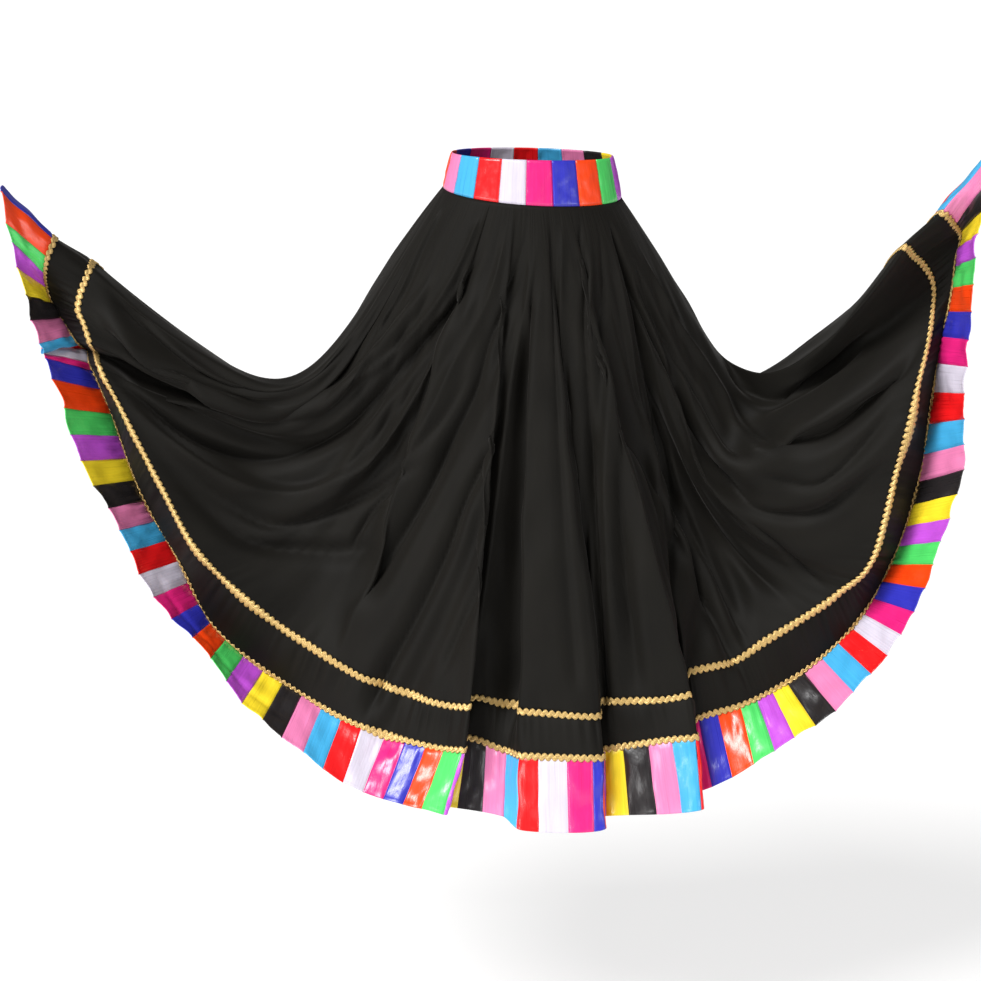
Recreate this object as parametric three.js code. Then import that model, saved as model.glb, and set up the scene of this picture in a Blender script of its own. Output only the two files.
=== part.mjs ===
// Folk dance skirt, worn, with its hem held out at both sides.
// Millimetres, +Z up, the front looks along -Y, and the origin is the middle of the waistband's top edge.
import * as THREE from "three";

// Cut of the cloth, measured along it
const BODY_LENGTH = 720; // waist seam to the upper braid
const TIER_LENGTH = 70; // upper braid to the lower braid
const FLOUNCE_LENGTH = 105; // lower braid to the hem
const CUT_RADIUS = 113; // waist hole of the flat circle
const FRONT_STRIPES = 84; // satin stripes round the front half of the hem
const BACK_STRIPES = 81;

// Waistband
const SEAM_HALF_WIDTH = 130;
const SEAM_HALF_DEPTH = 96;
const TOP_HALF_WIDTH = 117;
const TOP_HALF_DEPTH = 86;
const SEAM_HEIGHT = { middle: -57.5, towardsRight: -7.5, towardsFront: -5.5 };
const TOP_HEIGHT = { middle: -2, towardsRight: -3, towardsFront: 3 };
const BAND_STRIPS = 18;
const BAND_START = -161; // left edge of the first strip, along the band from the middle of the front

// Seams and hem, as distances from the waist seam
const TIER_SEAM = BODY_LENGTH;
const FLOUNCE_SEAM = BODY_LENGTH + TIER_LENGTH;
const HEM = FLOUNCE_SEAM + FLOUNCE_LENGTH;

// Thickness and clearance
const CLOTH = 1.5;
const BAND = 2.5;
const GAP = 0.3;
const BRAID = 1.2;
const BRAID_WIDTH = 12;
const BRAID_CLEAR = 0.4;
const BAND_RISE = 0.9; // band's lower edge above the waist seam line, clear of the slanted cloth edge

// Soft waves of the flounce, full at the hem
const HEM_WAVES = [
  { count: 29, depth: 3, phase: 0.4 },
  { count: 17, depth: 3, phase: 1.9 },
];

// Sections round the skirt. "at" counts hem stripes from the left side seam, through the front, to the right
// side seam and back behind. A gore leaves the waist and arrives at the upper braid in a direction given as
// [plan, slope] in degrees: plan 0 is the front, 90 the right, and the slope is downwards where the gore
// leaves and upwards where it arrives. hem, lower and upper are places of the hem and of the two braids;
// without lower and upper, the tier and the flounce carry on straight from where the gore arrives.
const SECTIONS = [
  // at, leave, arrive, hem, lower, upper
  [0, [-97, 55], [-92, 41], [-766, -70, -44], [-702, -6, -126], [-648, -4, -161]],
  [1, [-91, 56], [-96, 38], [-760, -96, -43], [-695, -50, -120], [-648, -32, -164]],
  [2, [-87, 57], [-98, 36], [-751, -104, -86], [-705, -58, -143], [-655, -40, -182]],
  [3, [-84, 58], [-97, 34], [-744, -98, -114], [-713, -40, -172], [-662, -45, -200]],
  [4, [-82, 58], [-95, 33], [-738, -84, -153], [-717, -14, -198], [-666, -48, -218]],
  [6, [-80, 59], [-88, 31], [-727, -84, -231], [-700, -4, -245], [-658, -55, -242]],
  [7.5, [-80, 60], [-86, 30], [-714, -94, -273], [-677, -12, -280], [-649, -62, -269]],
  [8.8, [-79, 60], [-84, 28], [-718, -50, -268], [-668, 14, -298], [-649, -28, -290]],
  [10, [-77, 60], [-80, 27], [-712, -82, -279], [-659, -16, -312], [-637, -70, -302]],
  [11, [-76, 60], [-79, 27], [-709, -96, -285], [-654, -18, -322], [-629, -73, -319]],
  [13, [-74, 60], [-76, 26], [-686, -104, -358], [-630, -16, -390], [-611, -72, -358]],
  [17, [-68, 60], [-72, 17], [-625, -125, -505], [-585, -30, -522], [-554, -85, -476]],
  [20, [-62, 61], [-66, 4], [-578, -150, -598], [-533, -55, -609], [-501, -112, -570]],
  [23, [-54, 63], [-60, -14], [-500, -175, -688], [-486, -80, -700], [-446, -118, -630]],
  [27, [-44, 68], [-50, -38], [-397, -210, -804], [-374, -120, -781], [-346, -130, -708]],
  [31, [-32, 72], [-35, -58], [-277, -255, -883], [-252, -190, -823], [-232, -172, -761]],
  [35, [-20, 76], [-20, -72], [-161, -285, -912], [-128, -240, -837], [-118, -222, -777]],
  [36.4, [-15, 76], [-16, -75], [-124, -302, -913], [-98, -262, -828], [-90, -240, -771]],
  [37.3, [-13, 77], [-14, -78], [-135, -262, -918], [-108, -222, -834], [-102, -198, -780]],
  [38, [-11, 77], [-12, -78], [-110, -258, -923], [-96, -215, -830], [-87, -192, -776]],
  [40, [-6, 77], [-6, -80], [-41, -264, -934], [-38, -224, -846], [-37, -202, -785]],
  [41.3, [-3, 76], [-2, -78], [-14, -292, -942], [-13, -258, -840], [-15, -234, -781]],
  [45, [6, 76], [5, -78], [104, -305, -934], [103, -268, -837], [97, -242, -784]],
  [46.4, [9, 77], [8, -79], [82, -262, -937], [88, -222, -846], [85, -198, -787]],
  [48, [12, 76], [10, -78], [109, -266, -932], [107, -226, -843], [101, -206, -777]],
  [51, [19, 75], [14, -73], [216, -292, -915], [203, -248, -818], [189, -226, -766]],
  [52.2, [22, 75], [18, -72], [246, -298, -906], [239, -256, -811], [231, -230, -755]],
  [53.5, [26, 75], [24, -72], [235, -248, -907], [227, -208, -814], [224, -190, -752]],
  [55, [30, 74], [30, -68], [263, -250, -893], [245, -200, -805], [234, -184, -738]],
  [57, [36, 72], [36, -58], [325, -248, -859], [309, -180, -794], [290, -160, -735]],
  [60, [48, 69], [48, -40], [413, -228, -803], [382, -145, -771], [353, -140, -703]],
  [64, [62, 65], [62, -12], [518, -202, -705], [481, -110, -697], [453, -140, -632]],
  [68, [72, 62], [72, 4], [583, -190, -570], [535, -100, -600], [497, -160, -576]],
  [72, [80, 60], [80, 18], [611, -188, -427], [570, -98, -472], [526, -160, -439]],
  [76, [89, 59], [86, 29], [612, -196, -274], [588, -98, -292], [554, -158, -291]],
  [80, [97, 56], [82, 42], [609, -210, -116], [605, -105, -148], [580, -84, -180]],
  [81.8, [106, 54], [78, 50], [612, -216, -54], [607, -118, -100], [556, -103, -143]],
  [83, [120, 52], [74, 55], [608, -236, -8], [592, -145, -82], [537, -124, -127]],
  [84, [140, 50], [68, 59], [616, -222, 30], [568, -165, -61], [521, -150, -112]],
  [84.7, [144, 50], [64, 57], [612, -196, 14], [561, -128, -80], [514, -118, -130]],
  [86.5, [152, 51], [55, 48], [600, -128, -46]],
  [90, [152, 56], [70, 40], [605, -20, -138]],
  [95, [145, 62], [84, 30], [595, 40, -318]],
  [100, [140, 67], [93, 25], [560, 78, -498]],
  [105, [142, 71], [96, 4], [490, 125, -663]],
  [110, [152, 74], [104, -32], [390, 180, -795]],
  [116, [164, 76], [128, -64], [235, 225, -903]],
  [124.5, [180, 78], [178, -76], [20, 245, -948]],
  [133, [195, 77], [214, -70], [-195, 230, -928]],
  [139, [205, 75], [246, -45], [-350, 198, -850]],
  [144.5, [216, 72], [258, -16], [-480, 155, -730]],
  [150, [230, 67], [264, 8], [-587, 108, -572]],
  [155, [243, 62], [266, 22], [-652, 68, -400]],
  [159.5, [244, 53], [276, 30], [-697, 25, -240]],
  [162.5, [252, 50], [288, 36], [-727, -32, -130]],
].map(([at, leave, arrive, hem, lower, upper]) => ({ at, leave, arrive, hem, lower, upper }));

// Largest folds: ridges (+) and troughs (-). Each runs from one place of the cut to another, a place being
// [stripe, distance from the waist seam], and sways sideways by some stripes half way. depth and reach are
// given at both ends; reach is half the fold's width.
const FOLDS = [
  { from: [4.6, 340], to: [1.3, 700], sway: -1.2, depth: [-6, -10], reach: [30, 44] },
  { from: [21, 110], to: [3, 700], sway: -2.7, depth: [10, 15], reach: [22, 60] },
  { from: [30, 110], to: [8.6, 712], sway: -3.6, depth: [-10, -16], reach: [18, 64] },
  { from: [33, 90], to: [13, 712], sway: 0, depth: [8, 16], reach: [20, 76] },
  { from: [26, 520], to: [15, 712], sway: -2, depth: [-4, -9], reach: [40, 60] },
  { from: [41, 60], to: [29, 640], sway: -2.8, depth: [-5, -15], reach: [14, 46] },
  { from: [38.8, 270], to: [31.5, 890], sway: -1.2, depth: [-7, -14], reach: [16, 44] },
  { from: [41.2, 120], to: [40, 770], sway: -0.9, depth: [-8, -16], reach: [16, 40] },
  { from: [56, 30], to: [45.6, 730], sway: -1.6, depth: [-5, -14], reach: [12, 36] },
  { from: [58, 80], to: [50, 760], sway: -2.6, depth: [-5, -12], reach: [12, 34] },
  { from: [65.5, 60], to: [54.6, 740], sway: 1.2, depth: [-6, -16], reach: [12, 42] },
  { from: [62.2, 320], to: [58, 720], sway: 1.8, depth: [-8, -13], reach: [18, 44] },
  { from: [66, 90], to: [71, 620], sway: 4, depth: [-10, -14], reach: [20, 56] },
  { from: [79.4, 330], to: [77.5, 740], sway: -3.3, depth: [-9, -15], reach: [28, 52] },
  { from: [75.2, 420], to: [75, 760], sway: -3, depth: [8, 14], reach: [30, 60] },
  { from: [82.4, 340], to: [80.9, 640], sway: -1.5, depth: [-6, -9], reach: [24, 34] },
  { from: [89.5, 330], to: [88, 740], sway: 2.6, depth: [-10, -16], reach: [28, 60] },
  { from: [96, 90], to: [93.5, 740], sway: 2, depth: [8, 18], reach: [18, 70] },
  { from: [101, 70], to: [100, HEM], sway: 1.5, depth: [-6, -18], reach: [16, 80] },
  { from: [106.5, 60], to: [106, HEM], sway: 0.6, depth: [6, 22], reach: [14, 84] },
  { from: [112.4, 60], to: [112, HEM], sway: 0, depth: [-5, -22], reach: [14, 80] },
  { from: [118.2, 60], to: [118, HEM], sway: 0, depth: [6, 26], reach: [14, 82] },
  { from: [124, 80], to: [124.4, HEM], sway: 0.4, depth: [-6, -26], reach: [14, 84] },
  { from: [130.2, 60], to: [131, HEM], sway: 0, depth: [6, 24], reach: [14, 80] },
  { from: [136, 70], to: [137, HEM], sway: 0, depth: [-6, -20], reach: [14, 82] },
  { from: [142, 60], to: [143.2, HEM], sway: -0.6, depth: [6, 20], reach: [14, 80] },
  { from: [148.4, 90], to: [149.5, HEM], sway: -1.4, depth: [-6, -16], reach: [16, 76] },
  { from: [152, 90], to: [154.6, 740], sway: -2, depth: [8, 16], reach: [18, 66] },
  { from: [158.6, 320], to: [159.6, 740], sway: -2.2, depth: [-9, -14], reach: [28, 56] },
];
const FOLD_FADE = 80; // length over which a fold dies away at its ends

// Rows of the pieces
const HALF_BRAID = BRAID_WIDTH / 2;
const HALF_GAP = GAP / 2;
const ROWS = [
  0, 30, 90, 160, 235, 310, 390, 465, 540, 610, 670,
  TIER_SEAM - HALF_BRAID, TIER_SEAM, TIER_SEAM + HALF_BRAID,
  FLOUNCE_SEAM - HALF_BRAID, FLOUNCE_SEAM, FLOUNCE_SEAM + HALF_BRAID,
  825, 860, HEM,
];
const STRIPES_PER_COLUMN = 1.3;
const STRIPE_STEP = 0.25; // steps of the slopes, in stripes and in millimetres along the cloth
const ALONG_STEP = 4;
const CURVE_STEPS = 48;
const FOLD_SOFTNESS = 0.7; // 0 leaves a sharp crease where a value turns back, 1 the widest bend
const SHORTEST_HANDLE = 5; // handles of a gore's curve are halved in on until it is as long as the cut
const LONGEST_HANDLE = 900;
const HANDLE_ROUNDS = 22;
const FIRST_BALANCE = 3; // rounds that turn a normal towards the face that leans from it most
const LAST_BALANCE = 60;
const BAND_STEPS = 720;
const BAND_COLUMNS = 4;
const WRAPPED_BEFORE = 3; // sections repeated past each end of the ring
const WRAPPED_AFTER = 4;

const TOTAL_STRIPES = FRONT_STRIPES + BACK_STRIPES;
const LEAVE_PLAN = 9; // places of the two plan angles in a section's list of numbers
const ARRIVE_PLAN = 11;
const NUMBERS = SECTIONS.map(sectionNumbers);
const KNOTS = wrapSections();
const SLOPES = knotSlopes(KNOTS);
const goreCache = new Map();

function vector([x, y, z]) {
  return new THREE.Vector3(x, y, z);
}

function direction(plan, slope) {
  const turn = THREE.MathUtils.degToRad(plan);
  const rise = THREE.MathUtils.degToRad(slope);
  const level = Math.cos(rise);
  return new THREE.Vector3(Math.sin(turn) * level, -Math.cos(turn) * level, Math.sin(rise));
}

// A section's numbers in one list: places first, then the two directions.
function sectionNumbers(section) {
  const run = direction(section.arrive[0], section.arrive[1]);
  const back = (length) => vector(section.hem).addScaledVector(run, -length).toArray();
  const lower = section.lower ?? back(FLOUNCE_LENGTH);
  const upper = section.upper ?? back(FLOUNCE_LENGTH + TIER_LENGTH);
  return [...section.hem, ...lower, ...upper, ...section.leave, ...section.arrive];
}

// The sections with some of the last repeated before the first and some of the first after the last.
function wrapSections() {
  const turned = (numbers, degrees) =>
    numbers.map((value, i) => (i === LEAVE_PLAN || i === ARRIVE_PLAN ? value + degrees : value));
  const knots = SECTIONS.map((section, i) => ({ at: section.at, numbers: NUMBERS[i] }));
  const before = knots.slice(-WRAPPED_BEFORE).map(({ at, numbers }) => ({
    at: at - TOTAL_STRIPES,
    numbers: turned(numbers, -360),
  }));
  const after = knots.slice(0, WRAPPED_AFTER).map(({ at, numbers }) => ({
    at: at + TOTAL_STRIPES,
    numbers: turned(numbers, 360),
  }));
  return [...before, ...knots, ...after];
}

// Slopes at the knots: none overshoots where a value keeps its way, and a fold turns round softly.
function knotSlopes(knots) {
  const steps = knots.slice(1).map((knot, i) => knot.at - knots[i].at);
  const rises = knots
    .slice(1)
    .map((knot, i) => knot.numbers.map((value, j) => (value - knots[i].numbers[j]) / steps[i]));
  return knots.map((knot, i) => {
    if (i === 0) return rises[0];
    if (i === knots.length - 1) return rises[i - 1];
    const before = 2 * steps[i] + steps[i - 1];
    const after = steps[i] + 2 * steps[i - 1];
    return knot.numbers.map((_, j) => {
      const [p, q] = [rises[i - 1][j], rises[i][j]];
      if (p * q > 0) return (before + after) / (before / p + after / q);
      return (FOLD_SOFTNESS * (p * steps[i] + q * steps[i - 1])) / (steps[i] + steps[i - 1]);
    });
  });
}

function sectionAt(stripe) {
  let i = 0;
  while (i < KNOTS.length - 2 && KNOTS[i + 1].at <= stripe) i += 1;
  const step = KNOTS[i + 1].at - KNOTS[i].at;
  const t = (stripe - KNOTS[i].at) / step;
  const start = 2 * t ** 3 - 3 * t ** 2 + 1;
  const end = 1 - start;
  const leave = (t ** 3 - 2 * t ** 2 + t) * step;
  const arrive = (t ** 3 - t ** 2) * step;
  const numbers = KNOTS[i].numbers.map(
    (value, j) =>
      start * value + end * KNOTS[i + 1].numbers[j] + leave * SLOPES[i][j] + arrive * SLOPES[i + 1][j],
  );
  return {
    hem: vector(numbers.slice(0, 3)),
    lower: vector(numbers.slice(3, 6)),
    upper: vector(numbers.slice(6, 9)),
    leave: direction(numbers[LEAVE_PLAN], -numbers[LEAVE_PLAN + 1]),
    arrive: direction(numbers[ARRIVE_PLAN], numbers[ARRIVE_PLAN + 1]),
  };
}

// Angle round the body of a stripe's gore: -90 degrees at the left side seam, 0 at the front.
function goreAngle(stripe) {
  const behind = stripe - FRONT_STRIPES;
  const share = behind <= 0 ? stripe / FRONT_STRIPES : 1 + behind / BACK_STRIPES;
  return (share - 0.5) * Math.PI;
}

function tilted(height, angle) {
  return height.middle + height.towardsRight * Math.sin(angle) + height.towardsFront * Math.cos(angle);
}

function seamPoint(angle) {
  return new THREE.Vector3(
    SEAM_HALF_WIDTH * Math.sin(angle),
    -SEAM_HALF_DEPTH * Math.cos(angle),
    tilted(SEAM_HEIGHT, angle),
  );
}

function topPoint(angle) {
  return new THREE.Vector3(
    TOP_HALF_WIDTH * Math.sin(angle),
    -TOP_HALF_DEPTH * Math.cos(angle),
    tilted(TOP_HEIGHT, angle),
  );
}

// One line of cloth from the waist down: a curve as long as the cut, then the tier and the flounce.
function goreAt(stripe) {
  if (goreCache.has(stripe)) return goreCache.get(stripe);
  const section = sectionAt(stripe);
  const start = seamPoint(goreAngle(stripe));
  const curve = new THREE.CubicBezierCurve3(start, new THREE.Vector3(), new THREE.Vector3(), section.upper);
  curve.arcLengthDivisions = CURVE_STEPS;
  let least = SHORTEST_HANDLE;
  let most = LONGEST_HANDLE;
  for (let round = 0; round < HANDLE_ROUNDS; round += 1) {
    const handle = (least + most) / 2;
    curve.v1.copy(start).addScaledVector(section.leave, handle);
    curve.v2.copy(section.upper).addScaledVector(section.arrive, -handle);
    curve.updateArcLengths();
    if (curve.getLength() > BODY_LENGTH) most = handle;
    else least = handle;
  }
  const gore = { curve, ...section };
  goreCache.set(stripe, gore);
  return gore;
}

function smoothPoint(stripe, along) {
  const gore = goreAt(stripe);
  if (along <= TIER_SEAM) return gore.curve.getPointAt(along / BODY_LENGTH);
  if (along <= FLOUNCE_SEAM) return gore.upper.clone().lerp(gore.lower, (along - TIER_SEAM) / TIER_LENGTH);
  return gore.lower.clone().lerp(gore.hem, (along - FLOUNCE_SEAM) / FLOUNCE_LENGTH);
}

// Outward normal of a surface that a point function describes.
function normalOf(point, stripe, along) {
  const across = point(stripe + STRIPE_STEP, along).sub(point(stripe - STRIPE_STEP, along));
  const down = point(stripe, along + ALONG_STEP).sub(point(stripe, Math.max(along - ALONG_STEP, 0)));
  return down.cross(across).normalize();
}

function stripeWidth(along) {
  return (2 * Math.PI * (CUT_RADIUS + along)) / TOTAL_STRIPES;
}

function foldHeight(fold, stripe, along) {
  const [startStripe, startAlong] = fold.from;
  const [endStripe, endAlong] = fold.to;
  const atHem = endAlong >= HEM;
  const outside = along <= startAlong || (!atHem && along >= endAlong);
  if (outside) return 0;
  const t = (along - startAlong) / (endAlong - startAlong);
  const middle = startStripe + (endStripe - startStripe) * t + fold.sway * 4 * t * (1 - t);
  const reach = THREE.MathUtils.lerp(fold.reach[0], fold.reach[1], t) / stripeWidth(along);
  const away = Math.abs(stripe - middle) / reach;
  if (away >= 1) return 0;
  const open = THREE.MathUtils.smoothstep(along, startAlong, startAlong + FOLD_FADE);
  const close = atHem ? 1 : 1 - THREE.MathUtils.smoothstep(along, endAlong - FOLD_FADE, endAlong);
  const depth = THREE.MathUtils.lerp(fold.depth[0], fold.depth[1], t);
  return depth * open * close * 0.5 * (1 + Math.cos(Math.PI * away));
}

function reliefAt(stripe, along) {
  const place = (stripe + TOTAL_STRIPES) % TOTAL_STRIPES;
  const folds = FOLDS.reduce((sum, fold) => sum + foldHeight(fold, place, along), 0);
  const growth = Math.max(0, along - FLOUNCE_SEAM) / FLOUNCE_LENGTH;
  const turn = (2 * Math.PI * place) / TOTAL_STRIPES;
  const waves = HEM_WAVES.map((wave) => wave.depth * Math.sin(wave.count * turn + wave.phase));
  return folds + growth * waves.reduce((sum, wave) => sum + wave, 0);
}

function clothPoint(stripe, along) {
  const relief = reliefAt(stripe, along);
  return smoothPoint(stripe, along).addScaledVector(normalOf(smoothPoint, stripe, along), relief);
}

// Columns round the whole skirt: every section, with even columns between them.
function ringStripes() {
  const stops = [...SECTIONS.map((section) => section.at), TOTAL_STRIPES];
  return stops.slice(1).flatMap((edge, i) => {
    const count = Math.max(1, Math.round((edge - stops[i]) / STRIPES_PER_COLUMN));
    return Array.from({ length: count }, (_, k) => stops[i] + ((edge - stops[i]) * k) / count);
  });
}

// Corners of a cell's two triangles, split along its shorter diagonal; a cell runs down, across and up.
function splitCell([a, b, c, d]) {
  const shortFirst = a.distanceTo(c) <= b.distanceTo(d);
  return shortFirst ? [[0, 1, 2], [0, 2, 3]] : [[0, 1, 3], [1, 2, 3]];
}

// Direction that leans as little as it can from every face round a place.
function balancedNormal(faces) {
  const normal = faces.reduce((sum, face) => sum.add(face), new THREE.Vector3()).normalize();
  for (let round = FIRST_BALANCE; round < LAST_BALANCE; round += 1) {
    const worst = faces.reduce((least, face) => (face.dot(normal) < least.dot(normal) ? face : least));
    normal.addScaledVector(worst, 1 / round).normalize();
  }
  return normal;
}

// Every place of the ring with its outward normal.
function ringPlaces(stripes) {
  const points = stripes.map((stripe) => ROWS.map((along) => clothPoint(stripe, along)));
  const faces = stripes.map(() => ROWS.map(() => []));
  stripes.forEach((_, i) => {
    const next = (i + 1) % stripes.length;
    for (let j = 1; j < ROWS.length; j += 1) {
      const places = [[i, j - 1], [i, j], [next, j], [next, j - 1]];
      const corners = places.map(([column, row]) => points[column][row]);
      for (const triangle of splitCell(corners)) {
        const face = new THREE.Vector3();
        new THREE.Triangle(...triangle.map((corner) => corners[corner])).getNormal(face);
        triangle.map((corner) => places[corner]).forEach(([column, row]) => faces[column][row].push(face));
      }
    }
  });
  return points.map((column, i) =>
    column.map((middle, j) => ({ middle, normal: balancedNormal(faces[i][j]) })),
  );
}

// Closed wall between two faces of a grid of places, both split along the same diagonals.
function wallGeometry(grid, low, high) {
  const across = grid.length;
  const down = grid[0].length;
  const points = [low, high].flatMap((offset) =>
    grid.flatMap((column) =>
      column.map(({ middle, normal }) => middle.clone().addScaledVector(normal, offset)),
    ),
  );
  const index = (side, i, j) => (side * across + i) * down + j;
  const faces = [];
  for (let i = 0; i < across - 1; i += 1) {
    for (let j = 0; j < down - 1; j += 1) {
      const places = [[i, j], [i, j + 1], [i + 1, j + 1], [i + 1, j]];
      const corners = places.map(([column, row]) => grid[column][row].middle);
      for (const triangle of splitCell(corners)) {
        const [a, b, c] = triangle.map((corner) => places[corner]);
        faces.push(index(1, ...a), index(1, ...b), index(1, ...c));
        faces.push(index(0, ...a), index(0, ...c), index(0, ...b));
      }
    }
  }
  const edge = (a, b) => {
    const cell = [index(0, ...a), index(0, ...b), index(1, ...b), index(1, ...a)];
    for (const triangle of splitCell(cell.map((corner) => points[corner]))) {
      faces.push(...triangle.map((corner) => cell[corner]));
    }
  };
  for (let i = 0; i < across - 1; i += 1) {
    edge([i + 1, 0], [i, 0]);
    edge([i, down - 1], [i + 1, down - 1]);
  }
  for (let j = 0; j < down - 1; j += 1) {
    edge([0, j], [0, j + 1]);
    edge([across - 1, j + 1], [across - 1, j]);
  }
  const geometry = new THREE.BufferGeometry();
  geometry.setAttribute("position", new THREE.Float32BufferAttribute(points.flatMap((p) => p.toArray()), 3));
  geometry.setIndex(faces);
  return geometry;
}

const STRIPES = ringStripes();
const RING = ringPlaces(STRIPES);

function movedTowards(place, neighbour, distance) {
  const way = neighbour.middle.clone().sub(place.middle).setLength(distance);
  return { middle: place.middle.clone().add(way), normal: place.normal };
}

// Places of a piece between two side seams and two rows, each edge at a seam moved in by the clearance.
function clothGrid({ first, last }, top, bottom, clearance) {
  const columns = RING.filter((_, i) => STRIPES[i] >= first && STRIPES[i] <= last);
  if (last === TOTAL_STRIPES) columns.push(RING[0]);
  const grid = columns.map((column) => column.filter((_, j) => ROWS[j] >= top && ROWS[j] <= bottom));
  const end = grid.length - 1;
  const low = grid[0].length - 1;
  const sides = grid.map((column, i) => {
    if (i !== 0 && i !== end) return column;
    const inner = grid[i === 0 ? 1 : end - 1];
    return column.map((place, j) => movedTowards(place, inner[j], clearance.side));
  });
  return sides.map((column) =>
    column.map((place, j) => {
      if (j === 0 && top > 0) return movedTowards(place, column[1], clearance.row);
      if (j === low && bottom < HEM) return movedTowards(place, column[low - 1], clearance.row);
      return place;
    }),
  );
}

function mesh(name, geometry, { color, roughness, metalness = 0 }) {
  geometry.computeVertexNormals();
  const made = new THREE.Mesh(geometry, new THREE.MeshStandardMaterial({ color, roughness, metalness }));
  made.name = name;
  return made;
}

const BLACK_CREPE = { color: "#2b2a2c", roughness: 0.85 };
const STRIPED_SATIN = { color: "#d8609f", roughness: 0.4 };
const GOLD_BRAID = { color: "#d9c27a", roughness: 0.5, metalness: 0.4 };
const SATIN = {
  pink: { color: "#eda0c2", roughness: 0.4 },
  lightBlue: { color: "#79bfe4", roughness: 0.4 },
  red: { color: "#d8383a", roughness: 0.4 },
  white: { color: "#eee6ee", roughness: 0.4 },
  magenta: { color: "#e0489a", roughness: 0.4 },
  blue: { color: "#5a55b4", roughness: 0.4 },
  orange: { color: "#e8633c", roughness: 0.4 },
  green: { color: "#7fdc8e", roughness: 0.4 },
  violet: { color: "#c06acb", roughness: 0.4 },
  yellow: { color: "#eadf6a", roughness: 0.4 },
  black: { color: "#2b2a2c", roughness: 0.45 },
};
const BAND_ORDER = Object.values(SATIN);

const HALVES = [
  { side: "front", first: 0, last: FRONT_STRIPES },
  { side: "back", first: FRONT_STRIPES, last: TOTAL_STRIPES },
];
const CLOTH_PIECES = [
  { name: "skirt_panel", top: 0, bottom: TIER_SEAM, finish: BLACK_CREPE },
  { name: "tier", top: TIER_SEAM, bottom: FLOUNCE_SEAM, finish: BLACK_CREPE },
  { name: "flounce", top: FLOUNCE_SEAM, bottom: HEM, finish: STRIPED_SATIN },
];
const BRAIDS = [
  { name: "upper_braid", seam: TIER_SEAM },
  { name: "lower_braid", seam: FLOUNCE_SEAM },
];

function clothPieces() {
  return HALVES.flatMap((half) =>
    CLOTH_PIECES.map(({ name, top, bottom, finish }) => {
      const grid = clothGrid(half, top, bottom, { side: HALF_GAP, row: HALF_GAP });
      return mesh(`${name}_${half.side}`, wallGeometry(grid, -CLOTH / 2, CLOTH / 2), finish);
    }),
  );
}

// Braid lies over each seam, just outside the cloth.
function braids() {
  const inside = CLOTH / 2 + BRAID_CLEAR;
  return HALVES.flatMap((half) =>
    BRAIDS.map(({ name, seam }) => {
      const grid = clothGrid(half, seam - HALF_BRAID, seam + HALF_BRAID, { side: GAP, row: 0 });
      return mesh(`${name}_${half.side}`, wallGeometry(grid, inside, inside + BRAID), GOLD_BRAID);
    }),
  );
}

// Angles of the band at even lengths along it, counted from the middle of the front.
function bandAngles() {
  const steps = BAND_STEPS;
  const table = [0];
  const middle = (angle) => seamPoint(angle).lerp(topPoint(angle), 0.5);
  for (let i = 1; i <= steps; i += 1) {
    const [a, b] = [i - 1, i].map((k) => middle((2 * Math.PI * k) / steps));
    table.push(table[i - 1] + a.distanceTo(b));
  }
  const round = table[steps];
  const angleAt = (length) => {
    const wanted = ((length % round) + round) % round;
    const i = Math.min(steps, Math.max(1, table.findIndex((value) => value >= wanted)));
    const part = (wanted - table[i - 1]) / (table[i] - table[i - 1]);
    return (2 * Math.PI * (i - 1 + part)) / steps;
  };
  return { round, angleAt };
}

// One strip of the waistband: a curved wall from the waist seam to the top edge.
function bandStrip(number, { round, angleAt }) {
  const width = round / BAND_STRIPS;
  const start = BAND_START + number * width + HALF_GAP;
  const grid = Array.from({ length: BAND_COLUMNS + 1 }, (_, i) => {
    const angle = angleAt(start + ((width - GAP) * i) / BAND_COLUMNS);
    const foot = seamPoint(angle).add(new THREE.Vector3(0, 0, BAND_RISE));
    const head = topPoint(angle);
    const along = new THREE.Vector3(
      SEAM_HALF_WIDTH * Math.cos(angle),
      SEAM_HALF_DEPTH * Math.sin(angle),
      0,
    );
    const normal = foot.clone().sub(head).cross(along).normalize();
    return [head, foot].map((middle) => ({ middle, normal }));
  });
  const name = `band_strip_${String(number + 1).padStart(2, "0")}`;
  return mesh(name, wallGeometry(grid, -BAND / 2, BAND / 2), BAND_ORDER[number % BAND_ORDER.length]);
}

function waistband() {
  const group = new THREE.Group();
  const angles = bandAngles();
  for (let number = 0; number < BAND_STRIPS; number += 1) group.add(bandStrip(number, angles));
  return group;
}

const skirt = new THREE.Group();
skirt.add(waistband(), ...clothPieces(), ...braids());

export default skirt;
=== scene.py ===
"""Folk dance skirt, worn, with its hem held out at both sides.

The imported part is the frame. Each cut and sewn piece of it is modelled here again at its fine form, from the
same cut, sections and folds, and dressed. Sizes of the cloth are in millimetres, Blender's are in metres.
"""
import logging
import math
from dataclasses import dataclass, field
from enum import Enum

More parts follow.
